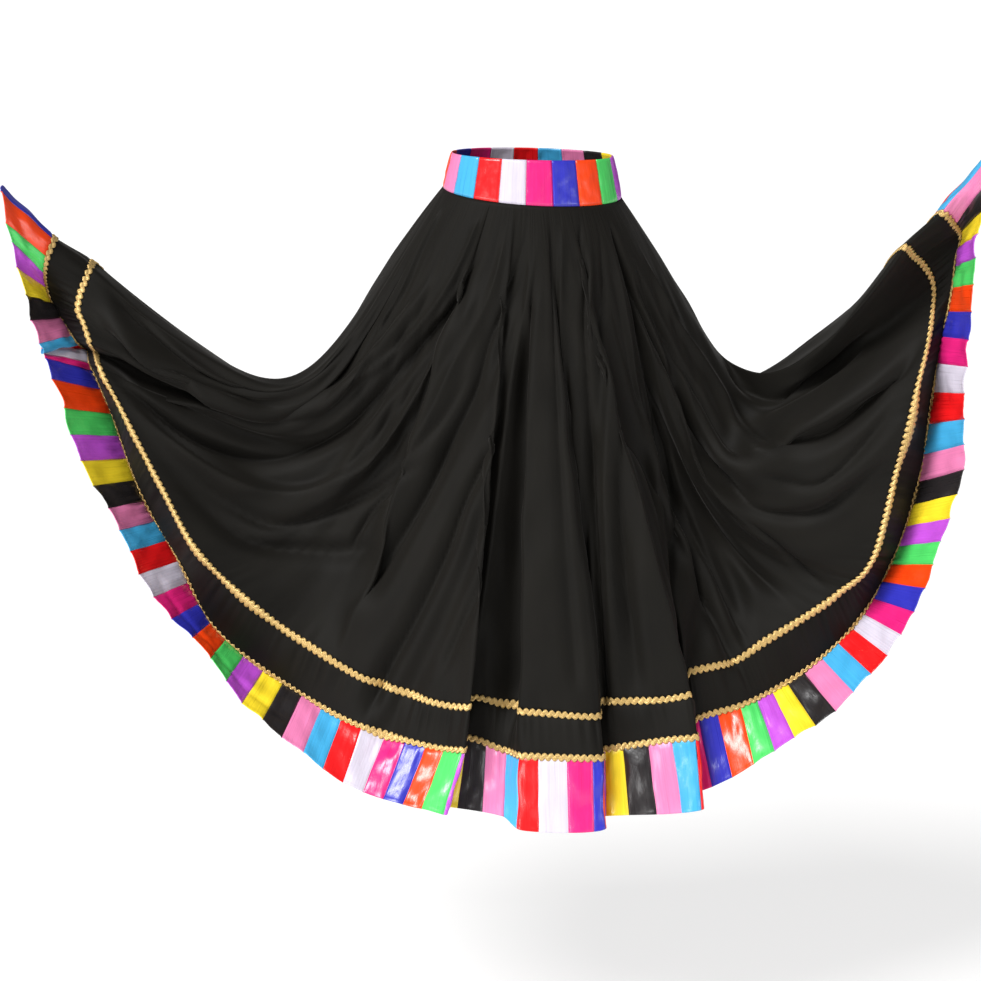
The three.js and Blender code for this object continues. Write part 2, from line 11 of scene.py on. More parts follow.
import bpy
import numpy as np
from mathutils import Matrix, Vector


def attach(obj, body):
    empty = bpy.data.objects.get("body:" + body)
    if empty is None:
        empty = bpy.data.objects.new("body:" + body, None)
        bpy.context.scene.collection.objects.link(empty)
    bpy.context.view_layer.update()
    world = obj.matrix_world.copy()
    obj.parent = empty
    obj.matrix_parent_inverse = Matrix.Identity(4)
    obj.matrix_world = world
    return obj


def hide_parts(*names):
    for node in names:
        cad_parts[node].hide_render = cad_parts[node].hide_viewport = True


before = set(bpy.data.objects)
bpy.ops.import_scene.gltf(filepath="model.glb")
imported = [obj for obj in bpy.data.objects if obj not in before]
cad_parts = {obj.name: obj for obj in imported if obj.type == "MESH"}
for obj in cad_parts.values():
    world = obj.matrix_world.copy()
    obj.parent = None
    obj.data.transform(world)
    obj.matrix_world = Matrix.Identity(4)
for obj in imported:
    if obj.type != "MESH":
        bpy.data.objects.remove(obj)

LOG = logging.getLogger("skirt")
MM = 0.001
ROOT = "root"
UV_LAYER = "cloth"
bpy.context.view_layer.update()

Pair = tuple[float, float]
Place = tuple[float, float, float]


@dataclass(frozen=True)
class Cut:
    """Sizes of the cloth, measured along it from the waist seam, and of the band. Millimetres."""

    body: float = 720.0
    tier: float = 70.0
    flounce: float = 105.0
    waist_radius: float = 113.0
    stripe: float = 38.0
    front_stripes: int = 84
    back_stripes: int = 81
    seam_half_width: float = 130.0
    seam_half_depth: float = 96.0
    top_half_width: float = 117.0
    top_half_depth: float = 86.0
    seam_height: Place = (-57.5, -7.5, -5.5)
    top_height: Place = (-2.0, -3.0, 3.0)

    @property
    def stripes(self) -> int:
        """Stripes round the whole hem."""
        return self.front_stripes + self.back_stripes

    @property
    def tier_seam(self) -> float:
        """Distance from the waist seam to the upper braid."""
        return self.body

    @property
    def flounce_seam(self) -> float:
        """Distance from the waist seam to the lower braid."""
        return self.body + self.tier

    @property
    def hem(self) -> float:
        """Distance from the waist seam to the hem."""
        return self.body + self.tier + self.flounce

    def stripe_width(self, along: np.ndarray) -> np.ndarray:
        """Width that one stripe's gore has at a distance from the waist seam."""
        return 2 * math.pi * (self.waist_radius + along) / self.stripes


CUT = Cut()

# Sections round the skirt: at, leave, arrive, hem, lower, upper. "at" counts hem stripes from the left side
# seam through the front. A gore leaves the waist and arrives at the upper braid in a direction [plan, slope]
# in degrees, and hem, lower and upper are places of the hem and of the two braids. Without lower and upper
# the tier and the flounce carry on straight from where the gore arrives.
SECTIONS = (
    (0, (-97, 55), (-92, 41), (-766, -70, -44), (-702, -6, -126), (-648, -4, -161)),
    (1, (-91, 56), (-96, 38), (-760, -96, -43), (-695, -50, -120), (-648, -32, -164)),
    (2, (-87, 57), (-98, 36), (-751, -104, -86), (-705, -58, -143), (-655, -40, -182)),
    (3, (-84, 58), (-97, 34), (-744, -98, -114), (-713, -40, -172), (-662, -45, -200)),
    (4, (-82, 58), (-95, 33), (-738, -84, -153), (-717, -14, -198), (-666, -48, -218)),
    (6, (-80, 59), (-88, 31), (-727, -84, -231), (-700, -4, -245), (-658, -55, -242)),
    (7.5, (-80, 60), (-86, 30), (-714, -94, -273), (-677, -12, -280), (-649, -62, -269)),
    (8.8, (-79, 60), (-84, 28), (-718, -50, -268), (-668, 14, -298), (-649, -28, -290)),
    (10, (-77, 60), (-80, 27), (-712, -82, -279), (-659, -16, -312), (-637, -70, -302)),
    (11, (-76, 60), (-79, 27), (-709, -96, -285), (-654, -18, -322), (-629, -73, -319)),
    (13, (-74, 60), (-76, 26), (-686, -104, -358), (-630, -16, -390), (-611, -72, -358)),
    (17, (-68, 60), (-72, 17), (-625, -125, -505), (-585, -30, -522), (-554, -85, -476)),
    (20, (-62, 61), (-66, 4), (-578, -150, -598), (-533, -55, -609), (-501, -112, -570)),
    (23, (-54, 63), (-60, -14), (-500, -175, -688), (-486, -80, -700), (-446, -118, -630)),
    (27, (-44, 68), (-50, -38), (-397, -210, -804), (-374, -120, -781), (-346, -130, -708)),
    (31, (-32, 72), (-35, -58), (-277, -255, -883), (-252, -190, -823), (-232, -172, -761)),
    (35, (-20, 76), (-20, -72), (-161, -285, -912), (-128, -240, -837), (-118, -222, -777)),
    (36.4, (-15, 76), (-16, -75), (-124, -302, -913), (-98, -262, -828), (-90, -240, -771)),
    (37.3, (-13, 77), (-14, -78), (-135, -262, -918), (-108, -222, -834), (-102, -198, -780)),
    (38, (-11, 77), (-12, -78), (-110, -258, -923), (-96, -215, -830), (-87, -192, -776)),
    (40, (-6, 77), (-6, -80), (-41, -264, -934), (-38, -224, -846), (-37, -202, -785)),
    (41.3, (-3, 76), (-2, -78), (-14, -292, -942), (-13, -258, -840), (-15, -234, -781)),
    (45, (6, 76), (5, -78), (104, -305, -934), (103, -268, -837), (97, -242, -784)),
    (46.4, (9, 77), (8, -79), (82, -262, -937), (88, -222, -846), (85, -198, -787)),
    (48, (12, 76), (10, -78), (109, -266, -932), (107, -226, -843), (101, -206, -777)),
    (51, (19, 75), (14, -73), (216, -292, -915), (203, -248, -818), (189, -226, -766)),
    (52.2, (22, 75), (18, -72), (246, -298, -906), (239, -256, -811), (231, -230, -755)),
    (53.5, (26, 75), (24, -72), (235, -248, -907), (227, -208, -814), (224, -190, -752)),
    (55, (30, 74), (30, -68), (263, -250, -893), (245, -200, -805), (234, -184, -738)),
    (57, (36, 72), (36, -58), (325, -248, -859), (309, -180, -794), (290, -160, -735)),
    (60, (48, 69), (48, -40), (413, -228, -803), (382, -145, -771), (353, -140, -703)),
    (64, (62, 65), (62, -12), (518, -202, -705), (481, -110, -697), (453, -140, -632)),
    (68, (72, 62), (72, 4), (583, -190, -570), (535, -100, -600), (497, -160, -576)),
    (72, (80, 60), (80, 18), (611, -188, -427), (570, -98, -472), (526, -160, -439)),
    (76, (89, 59), (86, 29), (612, -196, -274), (588, -98, -292), (554, -158, -291)),
    (80, (97, 56), (82, 42), (609, -210, -116), (605, -105, -148), (580, -84, -180)),
    (81.8, (106, 54), (78, 50), (612, -216, -54), (607, -118, -100), (556, -103, -143)),
    (83, (120, 52), (74, 55), (608, -236, -8), (592, -145, -82), (537, -124, -127)),
    (84, (140, 50), (68, 59), (616, -222, 30), (568, -165, -61), (521, -150, -112)),
    (84.7, (144, 50), (64, 57), (612, -196, 14), (561, -128, -80), (514, -118, -130)),
    (86.5, (152, 51), (55, 48), (600, -128, -46)),
    (90, (152, 56), (70, 40), (605, -20, -138)),
    (95, (145, 62), (84, 30), (595, 40, -318)),
    (100, (140, 67), (93, 25), (560, 78, -498)),
    (105, (142, 71), (96, 4), (490, 125, -663)),
    (110, (152, 74), (104, -32), (390, 180, -795)),
    (116, (164, 76), (128, -64), (235, 225, -903)),
    (124.5, (180, 78), (178, -76), (20, 245, -948)),
    (133, (195, 77), (214, -70), (-195, 230, -928)),
    (139, (205, 75), (246, -45), (-350, 198, -850)),
    (144.5, (216, 72), (258, -16), (-480, 155, -730)),
    (150, (230, 67), (264, 8), (-587, 108, -572)),
    (155, (243, 62), (266, 22), (-652, 68, -400)),
    (159.5, (244, 53), (276, 30), (-697, 25, -240)),
    (162.5, (252, 50), (288, 36), (-727, -32, -130)),
)


def smoothstep(value: np.ndarray, low: float, high: float) -> np.ndarray:
    """Smooth rise from 0 at low to 1 at high."""
    t = np.clip((value - low) / (high - low), 0, 1)
    return t * t * (3 - 2 * t)


def between(ends: Pair, share: np.ndarray) -> np.ndarray:
    """Even run from the first number of a pair to the second."""
    return ends[0] + (ends[1] - ends[0]) * share


def curve_through(at: np.ndarray, values: np.ndarray, slopes: np.ndarray, wanted: np.ndarray) -> np.ndarray:
    """Smooth curve through rows of values.

    Args:
        at: Place of each row, rising.
        values: The rows.
        slopes: Slope of each row.
        wanted: Places to read.

    Returns:
        A row for each wanted place.
    """
    i = np.clip(np.searchsorted(at, wanted, side="right") - 1, 0, len(at) - 2)
    step = (at[i + 1] - at[i])[:, None]
    t = (wanted - at[i])[:, None] / step
    start = 2 * t**3 - 3 * t**2 + 1
    leave = (t**3 - 2 * t**2 + t) * step
    arrive = (t**3 - t**2) * step
    return start * values[i] + (1 - start) * values[i + 1] + leave * slopes[i] + arrive * slopes[i + 1]


@dataclass(frozen=True)
class Fold:
    """A ridge (+) or trough (-) from one place of the cut to another, a place being (stripe, along)."""

    start: Pair
    end: Pair
    sway: float
    depth: Pair
    reach: Pair
    fade: float = 80.0

    def height(self, stripes: np.ndarray, along: np.ndarray) -> np.ndarray:
        """Height that the fold adds.

        Args:
            stripes: Stripe of each place.
            along: Distance of each place from the waist seam.

        Returns:
            Height in millimetres at each place.
        """
        at_hem = self.end[1] >= CUT.hem
        t = (along - self.start[1]) / (self.end[1] - self.start[1])
        inside = (t > 0) & (at_hem | (t < 1))
        middle = between((self.start[0], self.end[0]), t) + self.sway * 4 * t * (1 - t)
        reach = between(self.reach, t) / CUT.stripe_width(along)
        opening = smoothstep(along, self.start[1], self.start[1] + self.fade)
        closing = 1.0 if at_hem else 1 - smoothstep(along, self.end[1] - self.fade, self.end[1])
        near = np.clip(1 - np.abs(stripes - middle) / np.maximum(reach, LEAST_REACH), 0, 1)
        share = 0.5 * (1 - np.cos(math.pi * near))
        return np.where(inside, between(self.depth, t) * opening * closing * share, 0.0)


LEAST_REACH = 1e-6
HEM = CUT.hem

# The front from the left side, then the back. Heights and reaches are in millimetres
LARGE_FOLDS = (
    Fold((4.6, 340), (1.3, 700), -1.2, (-6, -10), (30, 44)),
    Fold((21, 110), (3, 700), -2.7, (10, 15), (22, 60)),
    Fold((30, 110), (8.6, 712), -3.6, (-10, -16), (18, 64)),
    Fold((33, 90), (13, 712), 0, (8, 16), (20, 76)),
    Fold((26, 520), (15, 712), -2, (-4, -9), (40, 60)),
    Fold((41, 60), (29, 640), -2.8, (-5, -15), (14, 46)),
    Fold((38.8, 270), (31.5, 890), -1.2, (-7, -14), (16, 44)),
    Fold((41.2, 120), (40, 770), -0.9, (-8, -16), (16, 40)),
    Fold((56, 30), (45.6, 730), -1.6, (-5, -14), (12, 36)),
    Fold((58, 80), (50, 760), -2.6, (-5, -12), (12, 34)),
    Fold((65.5, 60), (54.6, 740), 1.2, (-6, -16), (12, 42)),
    Fold((62.2, 320), (58, 720), 1.8, (-8, -13), (18, 44)),
    Fold((66, 90), (71, 620), 4, (-10, -14), (20, 56)),
    Fold((79.4, 330), (77.5, 740), -3.3, (-9, -15), (28, 52)),
    Fold((75.2, 420), (75, 760), -3, (8, 14), (30, 60)),
    Fold((82.4, 340), (80.9, 640), -1.5, (-6, -9), (24, 34)),
    Fold((89.5, 330), (88, 740), 2.6, (-10, -16), (28, 60)),
    Fold((96, 90), (93.5, 740), 2, (8, 18), (18, 70)),
    Fold((101, 70), (100, HEM), 1.5, (-6, -18), (16, 80)),
    Fold((106.5, 60), (106, HEM), 0.6, (6, 22), (14, 84)),
    Fold((112.4, 60), (112, HEM), 0, (-5, -22), (14, 80)),
    Fold((118.2, 60), (118, HEM), 0, (6, 26), (14, 82)),
    Fold((124, 80), (124.4, HEM), 0.4, (-6, -26), (14, 84)),
    Fold((130.2, 60), (131, HEM), 0, (6, 24), (14, 80)),
    Fold((136, 70), (137, HEM), 0, (-6, -20), (14, 82)),
    Fold((142, 60), (143.2, HEM), -0.6, (6, 20), (14, 80)),
    Fold((148.4, 90), (149.5, HEM), -1.4, (-6, -16), (16, 76)),
    Fold((152, 90), (154.6, 740), -2, (8, 16), (18, 66)),
    Fold((158.6, 320), (159.6, 740), -2.2, (-9, -14), (28, 56)),
)

LINE_STEPS = 200
CREASE_WEIGHT = 1.8


@dataclass(frozen=True)
class Crease:
    """A crease (+) or a pinched valley (-) along a path of (stripe, along) places, from the waist down."""

    path: tuple[Pair, ...]
    depth: Pair
    reach: Pair
    sharpness: float = 1.9
    fade: float = 90.0

    def line(self) -> tuple[np.ndarray, np.ndarray, np.ndarray]:
        """The path in small steps.

        Returns:
            Distances from the waist seam, stripes there and how fast the stripes change.
        """
        stripe, down = np.array(self.path, float).T
        slope = np.gradient(stripe, down)
        fine = np.linspace(down[0], down[-1], LINE_STEPS)
        found = curve_through(down, stripe[:, None], slope[:, None], fine)[:, 0]
        return fine, found, np.gradient(found, fine)

    def height(self, stripes: np.ndarray, along: np.ndarray) -> np.ndarray:
        """Height that the crease adds.

        Args:
            stripes: Stripe of each place.
            along: Distance of each place from the waist seam.

        Returns:
            Height in millimetres at each place.
        """
        fine, found, lean = self.line()
        width = CUT.stripe_width(along)
        slant = np.sqrt(1 + (np.interp(along, fine, lean) * width) ** 2)
        t = np.clip((along - fine[0]) / (fine[-1] - fine[0]), 0, 1)
        reach = between(self.reach, t) * slant / width
        near = np.clip(1 - np.abs(stripes - np.interp(along, fine, found)) / reach, 0, 1)
        opening = smoothstep(along, fine[0], fine[0] + self.fade)
        closing = 1 - smoothstep(along, fine[-1] - self.fade, fine[-1])
        depth = CREASE_WEIGHT * between(self.depth, t)
        return depth * opening * closing * near**self.sharpness


# The left side's swags, the middle's long folds and the right side's swags, in that order. A row gives the
# path, the depths and reaches at its ends in millimetres, the sharpness and the length of its faded ends
CREASES = (
    Crease(((5.0, 260), (3.6, 400), (4.2, 475), (3.8, 515), (2.8, 580), (1.2, 700)), (-5, -9), (18, 34)),
    Crease(((11.8, 20), (11.8, 90), (12.8, 150), (11.0, 230)), (3, 4), (9, 14), 1.7, 30),
    Crease(((26.8, 20), (25.2, 95), (22.6, 170), (19.4, 225), (16, 275), (10.6, 335)),
           (3, 5), (8, 18), 1.7, 30),
    Crease(((17.4, 170), (11.8, 300), (8.2, 395), (8.6, 460), (7.4, 530), (5.8, 575), (3.0, 700)),
           (3, 8), (20, 36), 1.4),
    Crease(((31, 50), (28, 135), (22.4, 225), (18.4, 300), (15.4, 400), (14.8, 500), (14.6, 570),
            (13.4, 640), (9.6, 718)), (-5, -15), (12, 46)),
    Crease(((29.4, 200), (25.6, 320), (22.8, 405), (19.4, 475), (17.6, 535), (16.2, 590), (12.6, 715)),
           (3, 8), (16, 34), 1.4),
    Crease(((33.2, 210), (30.6, 330), (27.2, 430), (22.6, 520), (18.8, 600), (14.8, 680)),
           (-3, -8), (14, 30)),
    Crease(((30.6, 380), (27.8, 445), (26.4, 495), (26.2, 575)), (-5, -6), (12, 20), 1.9, 40),
    Crease(((30, 480), (27.2, 555), (23.8, 595), (21.6, 620), (19.4, 645), (17.2, 680), (15.8, 714)),
           (-6, -12), (26, 40), 1.4),
    Crease(((40.4, 30), (37.6, 110), (34.6, 180), (33.4, 260), (32.2, 330), (31.2, 420), (30.2, 500),
            (28.6, 650)), (-4, -12), (9, 30), 1.8, 90),
    Crease(((38.8, 270), (35.8, 350), (34.4, 405), (33.4, 490), (32.2, 610), (31.2, 720), (31, 800)),
           (-6, -14), (14, 32)),
    Crease(((37.4, 400), (36.6, 500), (35, 600), (33.6, 720)), (-4, -6), (14, 22), 1.6),
    Crease(((35, 20), (33.8, 120), (31, 230), (29.6, 340), (28.2, 450)), (3, 6), (8, 24), 1.5),
    Crease(((43.4, 20), (41.8, 100), (40.0, 175), (38.9, 270), (38.6, 360), (38.2, 500), (37.8, 680)),
           (3, 7), (10, 22), 1.5, 140),
    Crease(((43, 40), (41.6, 130), (40.2, 230), (40.3, 355), (40, 450), (40.2, 550), (40.2, 790)),
           (-4, -16), (9, 30), 1.6, 120),
    Crease(((46.8, 20), (44.6, 150), (43.8, 300), (43.6, 445), (43.6, 700)), (-2, -6), (7, 20), 1.9, 60),
    Crease(((50, 10), (47.4, 150), (46.2, 330), (45.6, 520), (45.4, 740)), (2, 8), (8, 26), 1.5, 60),
    Crease(((56.2, 14), (51, 150), (49.9, 260), (49.2, 410), (48.8, 520), (48.2, 740)),
           (-3, -10), (7, 22), 1.8, 40),
    Crease(((61.6, 10), (58, 130), (53.2, 260), (51.2, 385), (50.4, 505), (50, 720)),
           (-3, -8), (9, 20), 1.8, 120),
    Crease(((58.8, 8), (54.6, 150), (51.8, 260), (50.2, 385), (49.6, 505), (49.2, 690)),
           (2, 5), (8, 18), 1.5, 140),
    Crease(((65.8, 16), (64.8, 80), (64.2, 150), (62.8, 230), (61.6, 335), (59, 450),
            (55.6, 560), (52.6, 740)), (-5, -15), (9, 34), 1.7, 40),
    Crease(((64, 10), (62.6, 100), (60.6, 240), (58.4, 360), (55.6, 480), (53.2, 600)),
           (3, 6), (10, 24), 1.5, 140),
    Crease(((62.2, 250), (63, 370), (62.6, 455), (62.2, 615), (62, 700)), (-6, -11), (16, 32)),
    Crease(((62.2, 280), (61, 425), (58.6, 520), (57.6, 620), (57.4, 760)), (-5, -11), (14, 26)),
    Crease(((62.4, 430), (60.2, 520), (59.2, 610), (58.6, 730)), (-4, -6), (10, 18)),
    Crease(((65, 60), (65.6, 150), (67, 225), (70.4, 290), (73, 350), (73.6, 420), (71.6, 485), (70, 560)),
           (-5, -15), (12, 40)),
    Crease(((73, 60), (74.2, 170), (77.6, 255), (78.8, 330), (78.2, 385), (75.8, 465), (73.4, 560)),
           (4, 8), (12, 24), 1.5, 120),
    Crease(((82.4, 290), (82.6, 380), (81.8, 440), (80.4, 510), (80.4, 620)), (-8, -13), (20, 32)),
    Crease(((80.4, 340), (77.4, 450), (75.2, 540), (74.8, 595), (75.6, 640), (78, 718)),
           (-7, -13), (18, 34)),
    Crease(((74.6, 470), (72.8, 550), (72.4, 600), (73.2, 640), (76.4, 718)), (-4, -8), (14, 22)),
    Crease(((71.2, 480), (70.6, 560), (70.8, 615), (71.8, 660), (73.4, 718)), (-6, -12), (16, 28)),
    Crease(((70.2, 490), (68, 570), (65, 650), (63.6, 718)), (-5, -8), (14, 24)),
    Crease(((68.6, 60), (69.8, 170), (72.6, 250), (76, 330), (76.6, 400), (74, 480)), (-3, -6), (9, 20)),
)

LEAVE_PLAN = 9
ARRIVE_PLAN = 11
FOLD_SOFTNESS = 0.7
CURVE_STEPS = 96
HANDLES = (5.0, 900.0)
HANDLE_ROUNDS = 24
WRAPPED = (3, 4)
NORMAL_STEP = 0.25
NORMAL_DROP = 4.0


def direction(plan: np.ndarray, slope: np.ndarray) -> np.ndarray:
    """Unit vectors from angles in degrees.

    Args:
        plan: Angle on the plan, 0 towards the front and 90 to the right.
        slope: Angle up from the level.

    Returns:
        Vectors, one for each angle.
    """
    turn = np.radians(plan)
    rise = np.radians(slope)
    level = np.cos(rise)
    return np.stack([np.sin(turn) * level, -np.cos(turn) * level, np.sin(rise)], -1)


def tilted(height: Place, angle: np.ndarray) -> np.ndarray:
    """Height round the waist from its middle and its rise towards the right and the front."""
    return height[0] + height[1] * np.sin(angle) + height[2] * np.cos(angle)


def waist_point(angle: np.ndarray, half_width: float, half_depth: float, height: Place) -> np.ndarray:
    """Places on a tilted ellipse round the waist.

    Args:
        angle: Angle of each place, 0 at the front.
        half_width: Half of the ellipse from side to side.
        half_depth: Half of it from front to back.
        height: Its middle height and its rise to the right and the front.

    Returns:
        Places in millimetres.
    """
    return np.stack(
        [half_width * np.sin(angle), -half_depth * np.cos(angle), tilted(height, angle)], -1
    )


class Unevenness:
    """A smooth, repeatable, uneven field over the cloth, made of crossing waves."""

    def __init__(self, seed: int, waves: int, lengths: Pair, turn: Pair) -> None:
        """Draws the waves.

        Args:
            seed: Start of the random draws.
            waves: How many waves cross.
            lengths: Shortest and longest wave in millimetres.
            turn: Least and greatest direction of travel in degrees, 0 being round the skirt.
        """
        draw = np.random.default_rng(seed)
        length = draw.uniform(*lengths, waves)
        angle = np.radians(draw.uniform(*turn, waves))
        self.across = 2 * math.pi * np.cos(angle) / length
        self.down = 2 * math.pi * np.sin(angle) / length
        self.phase = draw.uniform(0, 2 * math.pi, waves)

    def at(self, stripes: np.ndarray, along: np.ndarray) -> np.ndarray:
        """Height of the field, mostly between -1 and 1.

        Args:
            stripes: Stripe of each place.
            along: Distance of each place from the waist seam.

        Returns:
            Height at each place.
        """
        x = stripes * CUT.stripe
        total = np.zeros(np.broadcast(x, along).shape)
        for across, down, phase in zip(self.across, self.down, self.phase):
            total += np.sin(across * x + down * along + phase)
        return total / math.sqrt(len(self.phase))


@dataclass(frozen=True)
class HemWaves:
    """Shallow waves that grow down the flounce, all round: how many, and where each starts."""

    waves: tuple[Pair, ...] = ((29, 0.4), (17, 1.9))
    depth: float = 3.0

    def height(self, stripes: np.ndarray, along: np.ndarray) -> np.ndarray:
        """Height in millimetres at each place.

        Args:
            stripes: Stripe of each place.
            along: Distance of each place from the waist seam.

        Returns:
            Height in millimetres at each place.
        """
        turn = 2 * math.pi * stripes / CUT.stripes
        growth = np.clip((along - CUT.flounce_seam) / CUT.flounce, 0, 1)
        return growth * self.depth * sum(np.sin(count * turn + start) for count, start in self.waves)


@dataclass(frozen=True)
class BackPleats:
    """Deep soft folds that hang from the waist at the back. Lengths are in stripes."""

    pitch: float = 5.4
    depth: float = 22.0
    uneven_depth: float = 0.8
    from_waist: Pair = (10, 560)
    left_side: Pair = (66, 77)
    right_side: Pair = (4, 14)
    slow_drift: Pair = (1.1, 23)
    quick_drift: Pair = (0.7, 11.7)
    lean: float = 0.002

    def height(self, stripes: np.ndarray, along: np.ndarray) -> np.ndarray:
        """Height in millimetres at each place.

        Args:
            stripes: Stripe of each place.
            along: Distance of each place from the waist seam.

        Returns:
            Height in millimetres at each place.
        """
        behind = stripes - CUT.front_stripes
        sides = smoothstep(behind, *self.right_side) * (1 - smoothstep(behind, *self.left_side))
        (slow, slow_length), (quick, quick_length) = self.slow_drift, self.quick_drift
        drift = slow * np.sin(2 * math.pi * behind / slow_length + 0.8)
        drift = drift + quick * np.sin(2 * math.pi * behind / quick_length)
        wave = np.sin(2 * math.pi * (behind + drift + self.lean * along) / self.pitch)
        depth = self.depth * smoothstep(along, *self.from_waist) + self.uneven_depth * np.sin(behind * 0.9)
        return sides * depth * wave


@dataclass(frozen=True)
class BodyUnevenness:
    """The body's soft unevenness, which leaves the left side seam and the waist alone."""

    waves: Unevenness = field(default_factory=lambda: Unevenness(11, 14, (70, 190), (-70, 70)))
    depth: float = 1.1
    from_seam: Pair = (0.0, 4.0)
    from_waist: Pair = (20, 220)

    def height(self, stripes: np.ndarray, along: np.ndarray) -> np.ndarray:
        """Height in millimetres at each place.

        Args:
            stripes: Stripe of each place.
            along: Distance of each place from the waist seam.

        Returns:
            Height in millimetres at each place.
        """
        ease = smoothstep(np.minimum(stripes, CUT.stripes - stripes), *self.from_seam)
        return self.depth * ease * smoothstep(along, *self.from_waist) * self.waves.at(stripes, along)


class ClothSurface:
    """The skirt's surface as a function of the stripe and of the distance from the waist seam."""

    def __init__(self) -> None:
        """Reads the sections and works out their slopes."""
        at = np.array([row[0] for row in SECTIONS], float)
        numbers = np.array([self.numbers(row) for row in SECTIONS])
        before, after = WRAPPED
        head = numbers[-before:].copy()
        tail = numbers[:after].copy()
        head[:, [LEAVE_PLAN, ARRIVE_PLAN]] -= 360
        tail[:, [LEAVE_PLAN, ARRIVE_PLAN]] += 360
        self.at = np.concatenate([at[-before:] - CUT.stripes, at, at[:after] + CUT.stripes])
        self.values = np.vstack([head, numbers, tail])
        self.slopes = self.knot_slopes(self.at, self.values)
        self.body_unevenness = BodyUnevenness()

    @staticmethod
    def numbers(row: tuple) -> list[float]:
        """One section's numbers in a list.

        Args:
            row: The section.

        Returns:
            Its numbers in the order hem, lower, upper, leave and arrive.
        """
        _, leave, arrive, hem = row[:4]
        if len(row) > 4:
            return [*hem, *row[4], *row[5], *leave, *arrive]
        run = direction(np.array(arrive[0]), np.array(arrive[1]))
        lower = np.array(hem) - run * CUT.flounce
        upper = np.array(hem) - run * (CUT.flounce + CUT.tier)
        return [*hem, *lower, *upper, *leave, *arrive]

    @staticmethod
    def knot_slopes(at: np.ndarray, values: np.ndarray) -> np.ndarray:
        """Slopes at the sections, with which no value overshoots where it keeps its way.

        Args:
            at: Stripe of each section.
            values: Numbers of each section.

        Returns:
            Slope of each number at each section.
        """
        step = np.diff(at)[:, None]
        rise = np.diff(values, axis=0) / step
        slopes = np.zeros_like(values)
        before = 2 * step[1:] + step[:-1]
        after = step[1:] + 2 * step[:-1]
        same = rise[:-1] * rise[1:] > 0
        with np.errstate(divide="ignore", invalid="ignore"):
            steady = (before + after) / (before / rise[:-1] + after / rise[1:])
        turning = FOLD_SOFTNESS * (rise[:-1] * step[1:] + rise[1:] * step[:-1]) / (step[1:] + step[:-1])
        slopes[1:-1] = np.where(same, steady, turning)
        slopes[0] = rise[0]
        slopes[-1] = rise[-1]
        return slopes

    def sections(self, stripes: np.ndarray) -> np.ndarray:
        """Section numbers at any stripes."""
        return curve_through(self.at, self.values, self.slopes, stripes)

    @staticmethod
    def gore_angle(stripes: np.ndarray) -> np.ndarray:
        """Angle round the waist at which a stripe's gore starts, 0 at the front.

        Args:
            stripes: The stripes.

        Returns:
            Angle of each in radians.
        """
        front = stripes / CUT.front_stripes
        back = 1 + (stripes - CUT.front_stripes) / CUT.back_stripes
        before = stripes / CUT.back_stripes
        share = np.where(stripes < 0, before, np.where(stripes <= CUT.front_stripes, front, back))
        return (share - 0.5) * math.pi

    def smooth(self, stripes: np.ndarray, along: np.ndarray) -> np.ndarray:
        """Places of the cloth without its folds.

        Args:
            stripes: Stripe of each column.
            along: Distances from the waist seam, one row of them for each column.

        Returns:
            Places in millimetres, columns by rows by three.
        """
        values = self.sections(stripes)
        hem, lower, upper = values[:, 0:3], values[:, 3:6], values[:, 6:9]
        leave = direction(values[:, LEAVE_PLAN], -values[:, LEAVE_PLAN + 1])
        arrive = direction(values[:, ARRIVE_PLAN], values[:, ARRIVE_PLAN + 1])
        angle = self.gore_angle(stripes)
        start = waist_point(angle, CUT.seam_half_width, CUT.seam_half_depth, CUT.seam_height)
        least = np.full(len(stripes), HANDLES[0])
        most = np.full(len(stripes), HANDLES[1])
        t = np.linspace(0, 1, CURVE_STEPS + 1)
        for _ in range(HANDLE_ROUNDS):
            handle = ((least + most) / 2)[:, None]
            controls = (start, start + leave * handle, upper - arrive * handle, upper)
            lengths = np.linalg.norm(np.diff(bezier(controls, t[None, :]), axis=1), axis=2)
            long = lengths.sum(1) > CUT.body
            most = np.where(long, handle[:, 0], most)
            least = np.where(long, least, handle[:, 0])
        reached = np.concatenate([np.zeros((len(stripes), 1)), np.cumsum(lengths, 1)], 1)
        wanted = np.clip(along / CUT.body, 0, 1) * reached[:, -1:]
        times = np.array([np.interp(w, r, t) for w, r in zip(wanted, reached)])
        body = bezier(controls, times)
        tier = mixed(upper, lower, (along - CUT.tier_seam) / CUT.tier)
        flounce = mixed(lower, hem, (along - CUT.flounce_seam) / CUT.flounce)
        on_body = (along <= CUT.tier_seam)[..., None]
        on_tier = (along <= CUT.flounce_seam)[..., None]
        return np.where(on_body, body, np.where(on_tier, tier, flounce))

    def normals(self, stripes: np.ndarray, along: np.ndarray) -> np.ndarray:
        """Outward normals of the smooth cloth, taken over small steps.

        Args:
            stripes: Stripe of each column.
            along: Distances from the waist seam, one row of them for each column.

        Returns:
            Unit vectors, columns by rows by three.
        """
        across = self.smooth(stripes + NORMAL_STEP, along) - self.smooth(stripes - NORMAL_STEP, along)
        below, above = along + NORMAL_DROP, np.maximum(along - NORMAL_DROP, 0)
        down = self.smooth(stripes, below) - self.smooth(stripes, above)
        normal = np.cross(down, across)
        return normal / np.linalg.norm(normal, axis=2, keepdims=True)

